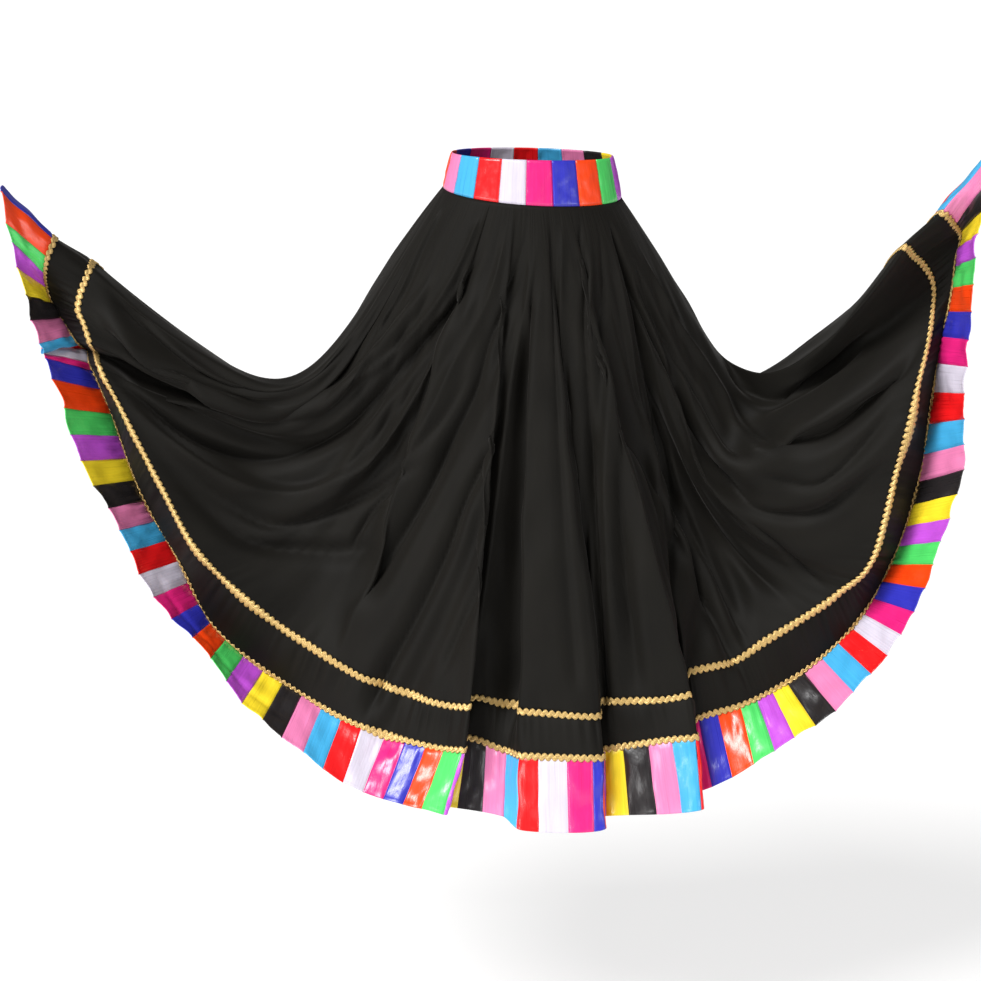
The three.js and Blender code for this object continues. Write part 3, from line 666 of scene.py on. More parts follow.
    def relief(self, stripes: np.ndarray, along: np.ndarray) -> np.ndarray:
        """Height of all that lies on the smooth cloth except the gathers and the stripes' own shape.

        Args:
            stripes: Stripe of each column.
            along: Distances from the waist seam, one row of them for each column.

        Returns:
            Height in millimetres at each place.
        """
        place = np.broadcast_to((stripes[:, None] + CUT.stripes) % CUT.stripes, along.shape)
        place = np.where(stripes[:, None] >= CUT.stripes, CUT.stripes, place)
        height = np.zeros(along.shape)
        for shape in (*LARGE_FOLDS, *CREASES, HemWaves(), BackPleats(), self.body_unevenness):
            height += shape.height(place, along)
        return height

    def places(self, stripes: np.ndarray, along: np.ndarray, extra: np.ndarray) -> np.ndarray:
        """Places of the finished cloth.

        Args:
            stripes: Stripe of each column.
            along: Distances from the waist seam, one row of them for each column.
            extra: Height in millimetres on top of the folds, for each place.

        Returns:
            Places in metres.
        """
        height = self.relief(stripes, along) + extra
        points = self.smooth(stripes, along) + self.normals(stripes, along) * height[..., None]
        return points * MM


def bezier(controls: tuple[np.ndarray, ...], t: np.ndarray) -> np.ndarray:
    """Places on cubic curves.

    Args:
        controls: Four arrays of control points, one point for each curve.
        t: Shares of each curve, curves by shares.

    Returns:
        Places, curves by shares by three.
    """
    a, b, c, d = (points[:, None, :] for points in controls)
    t = t[..., None]
    return (1 - t) ** 3 * a + 3 * (1 - t) ** 2 * t * b + 3 * (1 - t) * t**2 * c + t**3 * d


def mixed(start: np.ndarray, end: np.ndarray, share: np.ndarray) -> np.ndarray:
    """Places between two rows of places."""
    return start[:, None] * (1 - share[..., None]) + end[:, None] * share[..., None]


GATHER_WAVES = 6


def gathers(stripes: np.ndarray, per_stripe: float, seed: int) -> np.ndarray:
    """Uneven small gathers: full ridges with pinched valleys.

    Args:
        stripes: Stripe of each column.
        per_stripe: Gathers in a stripe.
        seed: Start of the random draws.

    Returns:
        Height of each column, from -1 to 1.
    """
    draw = np.random.default_rng(seed)
    drift = sum(
        draw.uniform(0.5, 1.1) * np.sin(stripes * draw.uniform(0.6, 3.2) + draw.uniform(0, 6))
        for _ in range(GATHER_WAVES)
    )
    swell = 0.7 + 0.3 * np.sin(stripes * 1.7 + 1.1) * np.sin(stripes * 0.61 + 0.4)
    return swell * (2 * np.abs(np.sin(math.pi * per_stripe * stripes + drift)) ** 0.75 - 1)


class Shades:
    """Colour helpers."""

    @staticmethod
    def linear(code: str) -> tuple[float, float, float, float]:
        """Linear colour of a code such as #2b2a2c.

        Args:
            code: The code.

        Returns:
            Red, green, blue and alpha.
        """
        parts = [int(code[i : i + 2], 16) / 255 for i in (1, 3, 5)]
        values = [p / 12.92 if p <= 0.04045 else ((p + 0.055) / 1.055) ** 2.4 for p in parts]
        return (*values, 1.0)

    @staticmethod
    def scaled(colour: tuple[float, ...], factor: float) -> tuple[float, float, float, float]:
        """The colour, lighter or darker."""
        return (*(min(1.0, value * factor) for value in colour[:3]), 1.0)


class Nodes:
    """A material's node tree while it is being made."""

    def __init__(self, name: str) -> None:
        """Starts a material with one shader.

        Args:
            name: Name of the material.
        """
        self.material = bpy.data.materials.new(name)
        self.material.use_nodes = True
        self.tree = self.material.node_tree
        self.shader = self.tree.nodes["Principled BSDF"]

    def add(self, kind: str, **values: float | tuple) -> bpy.types.Node:
        """Adds a node and sets its inputs by name, with _ for a space.

        Args:
            kind: Type of the node.
            values: Its inputs.

        Returns:
            The node.
        """
        node = self.tree.nodes.new(kind)
        for key, value in values.items():
            node.inputs[key.replace("_", " ")].default_value = value
        return node

    def link(self, source: bpy.types.NodeSocket, target: bpy.types.NodeSocket) -> None:
        """Links two sockets."""
        self.tree.links.new(source, target)

    def cloth_vector(self, scale: Place = (1.0, 1.0, 1.0), turn: float = 0.0) -> bpy.types.NodeSocket:
        """The cloth's own coordinates in metres, scaled and turned.

        Args:
            scale: Scale round and along.
            turn: Angle in degrees.

        Returns:
            The coordinates.
        """
        uv = self.add("ShaderNodeUVMap")
        uv.uv_map = UV_LAYER
        mapping = self.add("ShaderNodeMapping", Scale=scale, Rotation=(0, 0, math.radians(turn)))
        self.link(uv.outputs["UV"], mapping.inputs["Vector"])
        return mapping.outputs["Vector"]

    def noise(self, scale: Place, detail: float, roughness: float = 0.5) -> bpy.types.NodeSocket:
        """Noise over the cloth.

        Args:
            scale: Features a metre round and along.
            detail: Layers of finer noise.
            roughness: Strength of the finer layers.

        Returns:
            The noise, from 0 to 1.
        """
        node = self.add("ShaderNodeTexNoise", Scale=1.0, Detail=detail, Roughness=roughness)
        self.link(self.cloth_vector(scale), node.inputs["Vector"])
        return node.outputs["Fac"]

    def wave(self, scale: float, turn: float) -> bpy.types.NodeSocket:
        """Fine ribs over the cloth.

        Args:
            scale: How close the ribs are.
            turn: Their angle in degrees.

        Returns:
            The ribs, from 0 to 1.
        """
        node = self.add("ShaderNodeTexWave", Scale=scale, Distortion=0.6, Detail=1.0)
        self.link(self.cloth_vector(turn=turn), node.inputs["Vector"])
        return node.outputs["Fac"]

    def bump(self, height: bpy.types.NodeSocket, strength: float, distance: float,
             under: bpy.types.NodeSocket | None = None) -> bpy.types.NodeSocket:
        """Bump from a height, over another bump where one is given.

        Args:
            height: Height from 0 to 1.
            strength: Share of the bump that shows.
            distance: Height of 1 in metres.
            under: The bump under it.

        Returns:
            The bumped normal.
        """
        node = self.add("ShaderNodeBump", Strength=strength, Distance=distance)
        self.link(height, node.inputs["Height"])
        if under is not None:
            self.link(under, node.inputs["Normal"])
        return node.outputs["Normal"]

    def ramp(self, factor: bpy.types.NodeSocket, low: tuple, high: tuple,
             stops: Pair) -> bpy.types.NodeSocket:
        """A colour that goes from low to high between two stops.

        Args:
            factor: Where in the run the colour is.
            low: Colour at the first stop.
            high: Colour at the second stop.
            stops: The two stops.

        Returns:
            The colour.
        """
        node = self.add("ShaderNodeValToRGB")
        elements = node.color_ramp.elements
        elements[0].position, elements[1].position = stops
        elements[0].color, elements[1].color = low, high
        self.link(factor, node.inputs["Fac"])
        return node.outputs["Color"]

    def ranged(self, factor: bpy.types.NodeSocket, low: float, high: float) -> bpy.types.NodeSocket:
        """A number that goes from low to high.

        Args:
            factor: Number from 0 to 1.
            low: Result at 0.
            high: Result at 1.

        Returns:
            The number.
        """
        node = self.add("ShaderNodeMapRange", To_Min=low, To_Max=high)
        self.link(factor, node.inputs["Value"])
        return node.outputs["Result"]

    def set(self, **values: float | tuple | bpy.types.NodeSocket) -> None:
        """Sets or links the shader's inputs by name, with _ for a space."""
        for key, value in values.items():
            target = self.shader.inputs[key.replace("_", " ")]
            if isinstance(value, bpy.types.NodeSocket):
                self.link(value, target)
            else:
                target.default_value = value


@dataclass(frozen=True)
class CrepeFinish:
    """Matt black crepe with a pebbled grain and a soft sheen on the folds."""

    name: str = "black_crepe"
    colour: str = "#0d0b07"
    roughness: float = 0.68
    sheen: float = 0.04
    grain: float = 620.0

    def material(self) -> bpy.types.Material:
        """Builds the material.

        Returns:
            The material.
        """
        nodes = Nodes(self.name)
        base = Shades.linear(self.colour)
        mottle = nodes.noise((16.0, 9.0, 1.0), 3.0)
        colour = nodes.ramp(mottle, Shades.scaled(base, 0.82), Shades.scaled(base, 1.2), (0.3, 0.7))
        nodes.set(Base_Color=colour)
        nodes.set(Sheen_Weight=self.sheen, Sheen_Roughness=0.45, Sheen_Tint=(1.0, 0.95, 0.9, 1.0))
        nodes.set(Specular_IOR_Level=0.15)
        pebble = nodes.noise((self.grain, self.grain, 1.0), 2.0, 0.6)
        nodes.set(Roughness=nodes.ranged(pebble, self.roughness - 0.06, self.roughness + 0.08))
        soft = nodes.bump(nodes.noise((26.0, 12.0, 1.0), 3.0), 0.35, 0.0016)
        nodes.set(Normal=nodes.bump(pebble, 0.3, 0.00035, soft))
        return nodes.material


class Hue(Enum):
    """The satin's colours in the order in which they repeat round the waistband."""

    PINK = "#dd7aa9"
    LIGHT_BLUE = "#41a3d4"
    RED = "#e5171b"
    WHITE = "#cbc4d3"
    MAGENTA = "#da2176"
    BLUE = "#2f31ac"
    ORANGE = "#f0430e"
    GREEN = "#4ccb62"
    VIOLET = "#b94fcc"
    YELLOW = "#f2d62c"
    BLACK = "#232021"

    @property
    def slot(self) -> str:
        """This colour's slot, which also names its material."""
        return f"satin_{self.name.lower()}"


FIRST_HEM_HUE = 5


@dataclass(frozen=True)
class SatinFinish:
    """Glossy satin: threads run down the strip, with fine streaks and faint creases."""

    hue: Hue
    roughness: float = 0.27
    anisotropy: float = 0.35

    def material(self) -> bpy.types.Material:
        """Builds the material.

        Returns:
            The material.
        """
        nodes = Nodes(self.hue.slot)
        base = Shades.linear(self.hue.value)
        streaks = nodes.noise((420.0, 7.0, 1.0), 3.0, 0.55)
        colour = nodes.ramp(streaks, Shades.scaled(base, 0.88), Shades.scaled(base, 1.08), (0.3, 0.7))
        nodes.set(Base_Color=colour)
        nodes.set(Specular_IOR_Level=0.55, Anisotropic=self.anisotropy)
        nodes.set(Sheen_Weight=0.08, Sheen_Roughness=0.3, Sheen_Tint=Shades.scaled(base, 1.6))
        nodes.set(Roughness=nodes.ranged(streaks, self.roughness - 0.05, self.roughness + 0.1))
        crumple = nodes.bump(nodes.noise((62.0, 30.0, 1.0), 3.0, 0.55), 0.45, 0.0026)
        nodes.set(Normal=nodes.bump(nodes.noise((1500.0, 60.0, 1.0), 2.0), 0.15, 0.0002, crumple))
        return nodes.material


@dataclass(frozen=True)
class BraidFinish:
    """Gold braid of plaited metal thread, with painted shade between threads and painted highlights on them.
    """

    name: str = "gold_braid"
    colour: str = "#dcb872"

    def material(self) -> bpy.types.Material:
        """Builds the material.

        Returns:
            The material.
        """
        nodes = Nodes(self.name)
        base = Shades.linear(self.colour)
        threads = nodes.wave(260.0, 38.0)
        # The colour ramp paints shade into the grooves between the threads and paints highlights on the thread
        # crests.
        colour = nodes.ramp(threads, Shades.scaled(base, 0.35), Shades.scaled(base, 1.2), (0.1, 0.6))
        nodes.set(Base_Color=colour, Metallic=0.4, Specular_IOR_Level=0.6)
        nodes.set(Roughness=nodes.ranged(threads, 0.5, 0.28), Normal=nodes.bump(threads, 0.6, 0.0006))
        return nodes.material


@dataclass(frozen=True)
class StudioFinish:
    """Smooth pale floor."""

    name: str = "pale_floor"
    colour: str = "#a09f9e"
    glow: float = 0.72

    def material(self) -> bpy.types.Material:
        """Builds the material.

        Returns:
            The material.
        """
        nodes = Nodes(self.name)
        nodes.set(Base_Color=Shades.linear(self.colour), Roughness=0.9)
        nodes.set(Emission_Color=(1.0, 1.0, 1.0, 1.0), Emission_Strength=self.glow)
        return nodes.material


def select_only(piece: bpy.types.Object | None) -> None:
    """Deselects everything, then selects and activates the piece where one is given.

    Args:
        piece: The piece, or nothing.
    """
    bpy.ops.object.select_all(action="DESELECT")
    if piece is not None:
        piece.select_set(True)
        bpy.context.view_layer.objects.active = piece


def sheet_mesh(name: str, points: np.ndarray, uv: np.ndarray) -> bpy.types.Object:
    """A sheet of cloth on a grid of places.

    Args:
        name: Name of the piece.
        points: Places in metres, columns by rows by three; down crossed with across points outwards.
        uv: The cloth's own coordinates in metres, columns by rows by two.

    Returns:
        The piece, smooth and one layer thick.
    """
    across, down = points.shape[:2]
    select_only(None)
    bpy.ops.mesh.primitive_grid_add(x_subdivisions=down - 1, y_subdivisions=across - 1, size=1)
    piece = bpy.context.object
    piece.name = name
    piece.data.name = name
    mesh = piece.data
    mesh.vertices.foreach_set("co", points.reshape(-1).astype(np.float32))
    corners = np.zeros(len(mesh.loops), np.int32)
    mesh.loops.foreach_get("vertex_index", corners)
    layer = mesh.uv_layers[0] if mesh.uv_layers else mesh.uv_layers.new()
    layer.name = UV_LAYER
    layer.data.foreach_set("uv", uv.reshape(-1, 2)[corners].reshape(-1).astype(np.float32))
    mesh.polygons.foreach_set("use_smooth", np.ones(len(mesh.polygons), bool))
    mesh.update()
    return piece


def thicken(piece: bpy.types.Object, thickness: float) -> None:
    """Gives a sheet its thickness, half to each side, and applies it.

    Args:
        piece: The sheet.
        thickness: Thickness in metres.
    """
    select_only(piece)
    bpy.ops.object.modifier_add(type="SOLIDIFY")
    wall = piece.modifiers[-1]
    wall.thickness = thickness
    wall.offset = 0.0
    bpy.ops.object.modifier_apply(modifier=wall.name)


def column_of_faces(piece: bpy.types.Object, rows: int) -> np.ndarray:
    """Finds the grid column of each face of a sheet.

    Args:
        piece: The sheet.
        rows: Rows of places in its grid.

    Returns:
        Column of each face.
    """
    mesh = piece.data
    starts = np.zeros(len(mesh.polygons), np.int32)
    mesh.polygons.foreach_get("loop_start", starts)
    corners = np.zeros(len(mesh.loops), np.int32)
    mesh.loops.foreach_get("vertex_index", corners)
    around = corners[starts[:, None] + np.arange(4)]
    return around.min(1) // rows


@dataclass(frozen=True)
class Grid:
    """Cloth laid out in columns round and rows down: places in metres, its own lengths in millimetres."""

    points: np.ndarray
    length: np.ndarray
    along: np.ndarray

    def piece(self, name: str, materials: list[bpy.types.Material], thickness: float,
              slots: np.ndarray | None = None) -> bpy.types.Object:
        """Makes the piece of cloth and dresses it.

        Args:
            name: Name of the piece.
            materials: Its materials.
            thickness: Thickness of the cloth in millimetres.
            slots: Which material each column of faces wears, where there are more than one.

        Returns:
            The finished piece.
        """
        length = np.broadcast_to(self.length[:, None], self.along.shape)
        piece = sheet_mesh(name, self.points, np.stack([length, self.along], -1) * MM)
        for material in materials:
            piece.data.materials.append(material)
        if slots is not None:
            worn = slots[column_of_faces(piece, self.along.shape[1])]
            piece.data.polygons.foreach_set("material_index", worn.astype(np.int32))
        thicken(piece, thickness * MM)
        return piece


def declare(piece: bpy.types.Object, node: str) -> None:
    """Says what the piece rides on and which node it replaces.

    Args:
        piece: The finished piece.
        node: Node that it replaces.
    """
    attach(piece, ROOT)
    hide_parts(node)


@dataclass(frozen=True)
class Half:
    """The front or the back half of the skirt, from one side seam to the other."""

    side: str
    first: int
    last: int

    @property
    def stripes(self) -> int:
        """Stripes of this half."""
        return self.last - self.first

    def columns(self, a_stripe: int) -> np.ndarray:
        """Stripe of each of its columns, evenly spread."""
        return np.linspace(self.first, self.last, self.stripes * a_stripe + 1)


HALVES = (
    Half("front", 0, CUT.front_stripes),
    Half("back", CUT.front_stripes, CUT.stripes),
)


@dataclass
class Panel:
    """Half of the black body, from the waist seam to the upper braid."""

    surface: ClothSurface
    half: Half
    columns_a_stripe: int = 6
    rows: int = 96
    thickness: float = 1.2
    gathers_a_stripe: float = 1.0
    gather_height: float = 0.3
    seam_gather_height: float = 1.1
    waist_seed: int = 21
    seam_seed: int = 63
    waist_gathers_start: Pair = (0, 8)
    waist_gathers_end: Pair = (12, 90)
    above_seam: Pair = (60, 6)
    row_spread: float = 0.75

    def build(self, crepe: bpy.types.Material) -> bpy.types.Object:
        """Args:
            crepe: Its material.

        Returns:
            The panel.
        """
        stripes = self.half.columns(self.columns_a_stripe)
        share = np.linspace(0, 1, self.rows)
        rows = CUT.tier_seam * (self.row_spread * share + (1 - self.row_spread) * share**2)
        along = np.broadcast_to(rows, (len(stripes), self.rows))
        ease = gathers(stripes, self.gathers_a_stripe, self.waist_seed)[:, None]
        fade = smoothstep(along, *self.waist_gathers_start)
        fade = fade * (1 - smoothstep(along, *self.waist_gathers_end))
        pulled = gathers(stripes, self.gathers_a_stripe, self.seam_seed)[:, None]
        start, full = (CUT.body - above for above in self.above_seam)
        pulled = self.seam_gather_height * pulled * smoothstep(along, start, full)
        points = self.surface.places(stripes, along, self.gather_height * ease * fade + pulled)
        grid = Grid(points, stripes * CUT.stripe, along)
        piece = grid.piece(f"body_{self.half.side}", [crepe], self.thickness)
        declare(piece, f"skirt_panel_{self.half.side}")
        return piece


@dataclass
class Tier:
    """Half of the black tier between the two braids, lightly gathered onto the body."""

    surface: ClothSurface
    half: Half
    columns_a_stripe: int = 8
    rows: int = 17
    thickness: float = 1.2
    gathers_a_stripe: float = 2.3
    gather_height: float = 3.0
    seed: int = 33
    below_seam: Pair = (3, 12)
    slack: float = 0.8
    slack_start: float = 16.0
    slack_end: float = 4.0
    above_flounce: Pair = (10, 2)

    def build(self, crepe: bpy.types.Material) -> bpy.types.Object:
        """Args:
            crepe: Its material.

        Returns:
            The tier.
        """
        stripes = self.half.columns(self.columns_a_stripe)
        rows = np.linspace(CUT.tier_seam, CUT.flounce_seam, self.rows)
        along = np.broadcast_to(rows, (len(stripes), self.rows))
        ease = gathers(stripes, self.gathers_a_stripe, self.seed)[:, None]
        fade = smoothstep(along, *(CUT.tier_seam + below for below in self.below_seam))
        slack = smoothstep(along, CUT.tier_seam + self.slack_start, CUT.flounce_seam - self.slack_end)
        fade = fade * (1 - self.slack * slack)
        close = 1 - smoothstep(along, *(CUT.flounce_seam - above for above in self.above_flounce))
        points = self.surface.places(stripes, along, self.gather_height * ease * fade * close)
        grid = Grid(points, stripes * CUT.stripe, along)
        piece = grid.piece(f"tier_cloth_{self.half.side}", [crepe], self.thickness)
        declare(piece, f"tier_{self.half.side}")
        return piece


@dataclass
class Flounce:
    """Half of the satin flounce: strips sewn side by side and gathered under the lower braid."""

    surface: ClothSurface
    half: Half
    rows: int = 25
    thickness: float = 1.0
    gathers_a_stripe: float = 2.4
    gather_height: float = 2.0
    seed: int = 47
    gathers_start: Pair = (3, 12)
    gathers_ease: Pair = (14, 80)
    gathers_lost: float = 0.85
    opening: Pair = (0, 10)
    puff: float = 1.3
    seam_depth: float = 1.0
    seam_reach: float = 1.3
    hem_turn: float = 5.0
    hem_rise: float = 0.35
    edge_rows: tuple[float, ...] = (5.0, 3.5, 1.0, 0.0)
    crumple_height: float = 1.2
    wave_height: float = 2.2
    wave_stripes: float = 2.35
    wave_start: float = 6.0
    swell: Place = (0.25, 0.53, 0.9)
    shares: tuple[float, ...] = (0, 0.03, 0.09, 0.22, 0.36, 0.5, 0.64, 0.78, 0.91, 0.97)
    crumple: Unevenness = field(default_factory=lambda: Unevenness(57, 16, (26, 70), (-80, 80)))
    drifts: tuple[Place, ...] = ((1.3, 0.37, 0.6), (0.9, 0.83, 2.0))
    crease_height: float = -3.5
    crease_above_hem: float = 36.0
    crease_reach: float = 7.0
    crease_from: Pair = (19.5, 22)
    crease_to: Pair = (26, 28.5)

    def columns(self) -> np.ndarray:
        """Stripe of each column, close together at the seams between the strips.

        Returns:
            The stripes, rising.
        """
        starts = np.arange(self.half.first, self.half.last)
        inner = (starts[:, None] + np.array(self.shares)[None, :]).reshape(-1)
        return np.append(inner, self.half.last)

    def extra(self, stripes: np.ndarray, along: np.ndarray) -> np.ndarray:
        """Gathers, puffed strips, sewn grooves, creases and the turned hem.

        Args:
            stripes: Stripe of each column.
            along: Distance of each place from the waist seam.

        Returns:
            Height in millimetres at each place.
        """
        below = along - CUT.flounce_seam
        ease = gathers(stripes, self.gathers_a_stripe, self.seed)[:, None]
        lost = self.gathers_lost * smoothstep(below, *self.gathers_ease)
        fade = smoothstep(below, *self.gathers_start) * (1 - lost)
        part = stripes - np.floor(stripes)
        pillow = np.sqrt(np.clip(np.sin(math.pi * part), 0, 1))[:, None]
        groove = np.exp(-((np.minimum(part, 1 - part) * CUT.stripe / self.seam_reach) ** 2))[:, None]
        open_out = smoothstep(below, *self.opening)
        turn = smoothstep(along, CUT.hem - self.hem_turn - 1, CUT.hem - self.hem_turn + 1)
        height = self.gather_height * ease * fade
        height = height + open_out * (self.puff * pillow - self.seam_depth * groove)
        height = height + self.crumple_height * open_out * self.crumple.at(stripes[:, None], along)
        drift = sum(size * np.sin(stripes * rate + start) for size, rate, start in self.drifts)
        size, rate, start = self.swell
        swell = self.wave_height * (1 - size + size * np.sin(stripes * rate + start))
        waves = (swell * np.sin(2 * math.pi * stripes / self.wave_stripes + drift))[:, None]
        height = height + waves * smoothstep(below, self.wave_start, CUT.flounce)
        height = height + self.hem_rise * turn
        return height + self.crease_height * self.crease_line(stripes, along)

    def crease_line(self, stripes: np.ndarray, along: np.ndarray) -> np.ndarray:
        """Share of the long crease along the left of the flounce, a third of its length up from the hem.

        Args:
            stripes: Stripe of each column.
            along: Distance of each place from the waist seam.

        Returns:
            Share from 0 to 1 at each place.
        """
        away = (along - (CUT.hem - self.crease_above_hem)) / self.crease_reach
        present = smoothstep(stripes, *self.crease_from) * (1 - smoothstep(stripes, *self.crease_to))
        return present[:, None] * np.exp(-(away**2))

    def build(self, satins: list[bpy.types.Material]) -> bpy.types.Object:
        """Args:
            satins: Materials of the colours in their order.

        Returns:
            The flounce.
        """
        stripes = self.columns()
        plain = self.rows - len(self.edge_rows)
        inner = np.linspace(CUT.flounce_seam, CUT.hem - self.hem_turn - 1.5, plain)
        rows = np.concatenate([inner, CUT.hem - np.array(self.edge_rows)])
        along = np.broadcast_to(rows, (len(stripes), len(rows)))
        points = self.surface.places(stripes, along, self.extra(stripes, along))
        stripe = self.half.first + np.arange(len(stripes) - 1) // len(self.shares)
        grid = Grid(points, stripes * CUT.stripe, along)
        piece = grid.piece(f"flounce_satin_{self.half.side}", satins, self.thickness,
                           (stripe + FIRST_HEM_HUE) % len(satins))
        declare(piece, f"flounce_{self.half.side}")
        return piece


@dataclass
class Braid:
    """Wavy gold braid that lies over a seam of one half."""

    surface: ClothSurface
    half: Half
    level: str
    seam: float
    period: float = 9.6
    steps: int = 10
    half_width: float = 3.7
    swing: float = 2.3
    lift: float = 1.5
    thickness: float = 0.9
    dome: float = 0.9
    bulge: float = 1.3
    plait: float = 0.3
    trial_steps: int = 16
    across: tuple[float, ...] = (-1, -0.75, -0.4, 0, 0.4, 0.75, 1)

    def build(self, gold: bpy.types.Material) -> bpy.types.Object:
        """Args:
            gold: Its material.

        Returns:
            The braid.
        """
        stripes, length = self.even_columns()
        phase = math.pi * length[:, None] / self.period
        share = np.array(self.across)[None, :]
        lobe = np.where(share > 0, self.lobes(phase), self.lobes(phase + math.pi / 2))
        along = self.seam - share * (self.half_width + self.swing * lobe * np.abs(share))
        dome = self.dome * np.sqrt(np.clip(1 - 0.9 * share**2, 0, 1))
        knobs = self.bulge * np.abs(share) * (1 - share**2) ** 0.25 * lobe
        plait = self.plait * np.cos(4 * phase + 2.4 * share) * (1 - share**2)
        points = self.surface.places(stripes, along, self.lift + dome + knobs + plait)
        grid = Grid(points[:, ::-1], length, along[:, ::-1])
        piece = grid.piece(f"braid_{self.level}_{self.half.side}", [gold], self.thickness)
        declare(piece, f"{self.level}_braid_{self.half.side}")
        return piece

    @staticmethod
    def lobes(phase: np.ndarray) -> np.ndarray:
        """Round lobes with narrow notches between them, from -1 to 1."""
        return 2 * np.abs(np.sin(phase)) ** 0.8 - 1

    def even_columns(self) -> tuple[np.ndarray, np.ndarray]:
        """Columns at even lengths along the seam.

        Returns:
            Stripe of each column and its length along the seam in millimetres.
        """
        trial = self.half.columns(self.trial_steps)
        along = np.full((len(trial), 1), self.seam)
        line = self.surface.places(trial, along, np.zeros_like(along))[:, 0] / MM
        reached = np.concatenate([[0], np.cumsum(np.linalg.norm(np.diff(line, axis=0), axis=1))])
        count = int(round(reached[-1] / self.period)) * self.steps
        length = np.linspace(0, reached[-1], count + 1)
        return np.interp(length, reached, trial), length


@dataclass
class Waistband:
    """A loop of satin strips, drawn in a little at the sides."""

    strips: int = 18
    start: float = -161.0
    steps: int = 720
    columns: int = 16
    rows: int = 15
    gap: float = 0.3
    rise: float = 0.9
    thickness: float = 1.6
    puff: float = 0.8
    groove: float = 0.9
    shirr: float = 1.0
    shirr_pitch: float = 5.2
    crumple_height: float = 0.4
    crumple: Unevenness = field(default_factory=lambda: Unevenness(83, 14, (11, 34), (-75, 75)))
    groove_reach: float = 1.4
    drop: float = 62.0
    drawn_in: Pair = (0.25, 0.6)

    def angles(self) -> tuple[float, np.ndarray, np.ndarray]:
        """Lengths and angles round the band.

        Returns:
            The band's length round, and matching lengths and angles along it.
        """
        angle = np.linspace(0, 2 * math.pi, self.steps + 1)
        foot = waist_point(angle, CUT.seam_half_width, CUT.seam_half_depth, CUT.seam_height)
        head = waist_point(angle, CUT.top_half_width, CUT.top_half_depth, CUT.top_height)
        middle = (foot + head) / 2
        reached = np.concatenate([[0], np.cumsum(np.linalg.norm(np.diff(middle, axis=0), axis=1))])
        return reached[-1], reached, angle

    def build(self, satins: list[bpy.types.Material]) -> list[bpy.types.Object]:
        """Builds every strip."""
        return [self.strip(number, satins[number % len(satins)]) for number in range(self.strips)]

    def strip(self, number: int, satin: bpy.types.Material) -> bpy.types.Object:
        """Builds, dresses and declares one strip.

        Args:
            number: Place of the strip in the band, from 0.
            satin: Its material.

        Returns:
            The strip.
        """
        round_length, reached, angle = self.angles()
        width = round_length / self.strips
        first = self.start + number * width + self.gap / 2
        share = np.linspace(0, 1, self.columns + 1)
        length = first + (width - self.gap) * share
        at = np.interp(length % round_length, reached, angle)
        foot = waist_point(at, CUT.seam_half_width, CUT.seam_half_depth, CUT.seam_height)
        foot = foot + np.array([0, 0, self.rise])
        head = waist_point(at, CUT.top_half_width, CUT.top_half_depth, CUT.top_height)
        along = np.stack([CUT.seam_half_width * np.cos(at), CUT.seam_half_depth * np.sin(at), 0 * at], -1)
        normal = np.cross(foot - head, along)
        normal /= np.linalg.norm(normal, axis=1, keepdims=True)
        down = np.linspace(0, 1, self.rows)
        points = mixed(head, foot, np.broadcast_to(down, (len(at), self.rows)))
        height = self.relief(share, down, np.cos(at), length)
        points = (points + normal[:, None] * height[..., None]) * MM
        drop = np.linalg.norm(foot - head, axis=1)[:, None] * down[None, :]
        grid = Grid(points, length, drop)
        piece = grid.piece(f"band_satin_{number + 1:02d}", [satin], self.thickness)
        declare(piece, f"band_strip_{number + 1:02d}")
        return piece

    def relief(self, share: np.ndarray, down: np.ndarray, frontness: np.ndarray,
               length: np.ndarray) -> np.ndarray:
        """Puffed strip between two sewn grooves, with small gathers where the band is drawn in.

        Args:
            share: Share of the strip's width at each column.
            down: Share of the strip's height at each row.
            frontness: 1 at the front or -1 at the back, and 0 at the sides, for each column.
            length: Length round the band at each column.

        Returns:
            Height in millimetres at each place.
        """
        pillow = np.sqrt(np.clip(np.sin(math.pi * share), 0, 1))[:, None]
        edge = (np.sin(math.pi * np.clip(down, 0, 1)) ** 0.4)[None, :]
        away = np.minimum(share, 1 - share) * CUT.stripe / self.groove_reach
        groove = np.exp(-(away**2))[:, None]
        drawn = (1 - smoothstep(np.abs(frontness), *self.drawn_in))[:, None]
        pulls = np.sin(2 * math.pi * length / self.shirr_pitch)[:, None]
        pulls = pulls * np.sin(math.pi * down)[None, :] ** 0.5
        creases = self.crumple.at(length[:, None] / CUT.stripe, down[None, :] * self.drop)
        height = self.puff * pillow * edge - self.groove * groove + self.shirr * drawn * pulls
        return height + self.crumple_height * creases * edge


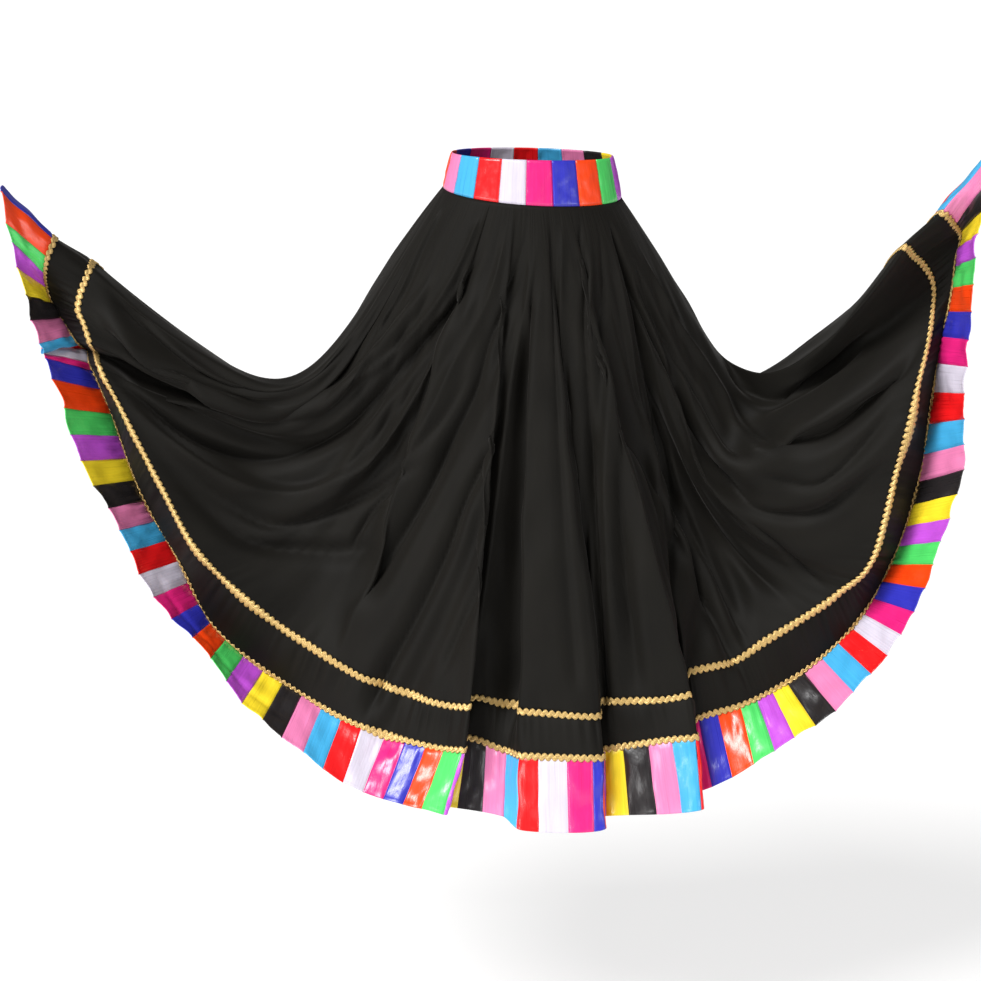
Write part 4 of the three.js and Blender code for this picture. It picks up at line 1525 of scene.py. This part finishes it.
@dataclass
class Studio:
    """Pale floor, soft light and the camera."""

    floor_height: float = -1.4
    floor_size: float = 60.0
    view_depth: float = 60.0
    camera_place: Place = (-0.0612, -3.2, 0.4417)
    pitch: float = 16.633
    lens: float = 80.37
    sensor: float = 36.0
    sky: float = 0.16

    def floor(self) -> None:
        """Builds the floor."""
        select_only(None)
        bpy.ops.mesh.primitive_plane_add(size=self.floor_size, location=(0, 0, self.floor_height))
        floor = bpy.context.object
        floor.name = "floor"
        floor.data.materials.append(StudioFinish().material())

    def light(self, name: str, place: Place, target: Place, size: float, power: float) -> None:
        """Adds one soft square light that looks at a place.

        Args:
            name: Name of the light.
            place: Where it stands.
            target: What it looks at.
            size: Side in metres.
            power: Watts.
        """
        bpy.ops.object.light_add(type="AREA", location=place)
        lamp = bpy.context.object
        lamp.name = name
        lamp.data.shape = "SQUARE"
        lamp.data.size = size
        lamp.data.energy = power
        way = Vector(target) - Vector(place)
        lamp.rotation_euler = way.to_track_quat("-Z", "Y").to_euler()

    def sun(self, name: str, place: Place, power: float, spread: float) -> None:
        """Adds one very soft light that reaches everywhere alike.

        Args:
            name: Name of the light.
            place: Direction that it comes from.
            power: Watts a square metre.
            spread: Softness in degrees.
        """
        bpy.ops.object.light_add(type="SUN", location=place)
        lamp = bpy.context.object
        lamp.name = name
        lamp.data.energy = power
        lamp.data.angle = math.radians(spread)
        lamp.rotation_euler = (-Vector(place)).to_track_quat("-Z", "Y").to_euler()

    def lights(self) -> None:
        """Adds the lights and an even sky."""
        self.sun("high_window", (-0.68, -0.66, 1.2), power=3.6, spread=22)
        self.light("key", (-1.3, -2.6, 2.1), (0, 0, -0.5), size=1.8, power=26)
        self.light("low_right", (2.1, -2.2, -0.5), (0.5, 0, -0.5), size=1.0, power=20)
        self.light("low_left", (-2.3, -1.9, -0.6), (-0.6, 0, -0.4), size=1.0, power=26)
        world = bpy.data.worlds.new("studio")
        world.use_nodes = True
        sky = world.node_tree.nodes["Background"]
        sky.inputs["Color"].default_value = (1, 1, 1, 1)
        sky.inputs["Strength"].default_value = self.sky
        bpy.context.scene.world = world

    def camera(self) -> None:
        """Adds the camera at the photograph's angle."""
        bpy.ops.object.camera_add(location=self.camera_place)
        camera = bpy.context.object
        camera.name = "camera"
        camera.rotation_euler = (math.radians(90 - self.pitch), 0, 0)
        camera.data.sensor_width = self.sensor
        camera.data.lens = self.lens
        camera.data.clip_end = self.view_depth
        bpy.context.scene.camera = camera
        bpy.context.scene.view_settings.view_transform = "Standard"


def main() -> None:
    """Builds the skirt and the studio in order."""
    logging.basicConfig(level=logging.INFO, format="%(name)s: %(message)s")
    surface = ClothSurface()
    crepe = CrepeFinish().material()
    gold = BraidFinish().material()
    satins = [SatinFinish(hue).material() for hue in Hue]
    for half in HALVES:
        seams = (("upper", CUT.tier_seam), ("lower", CUT.flounce_seam))
        made = [
            Panel(surface, half).build(crepe),
            Tier(surface, half).build(crepe),
            Flounce(surface, half).build(satins),
            *(Braid(surface, half, level, seam).build(gold) for level, seam in seams),
        ]
        for piece in made:
            LOG.info("%s: %d faces", piece.name, len(piece.data.polygons))
    strips = Waistband().build(satins)
    LOG.info("waistband: %d strips", len(strips))
    studio = Studio()
    studio.floor()
    studio.lights()
    studio.camera()


if __name__ == "__main__":
    main()
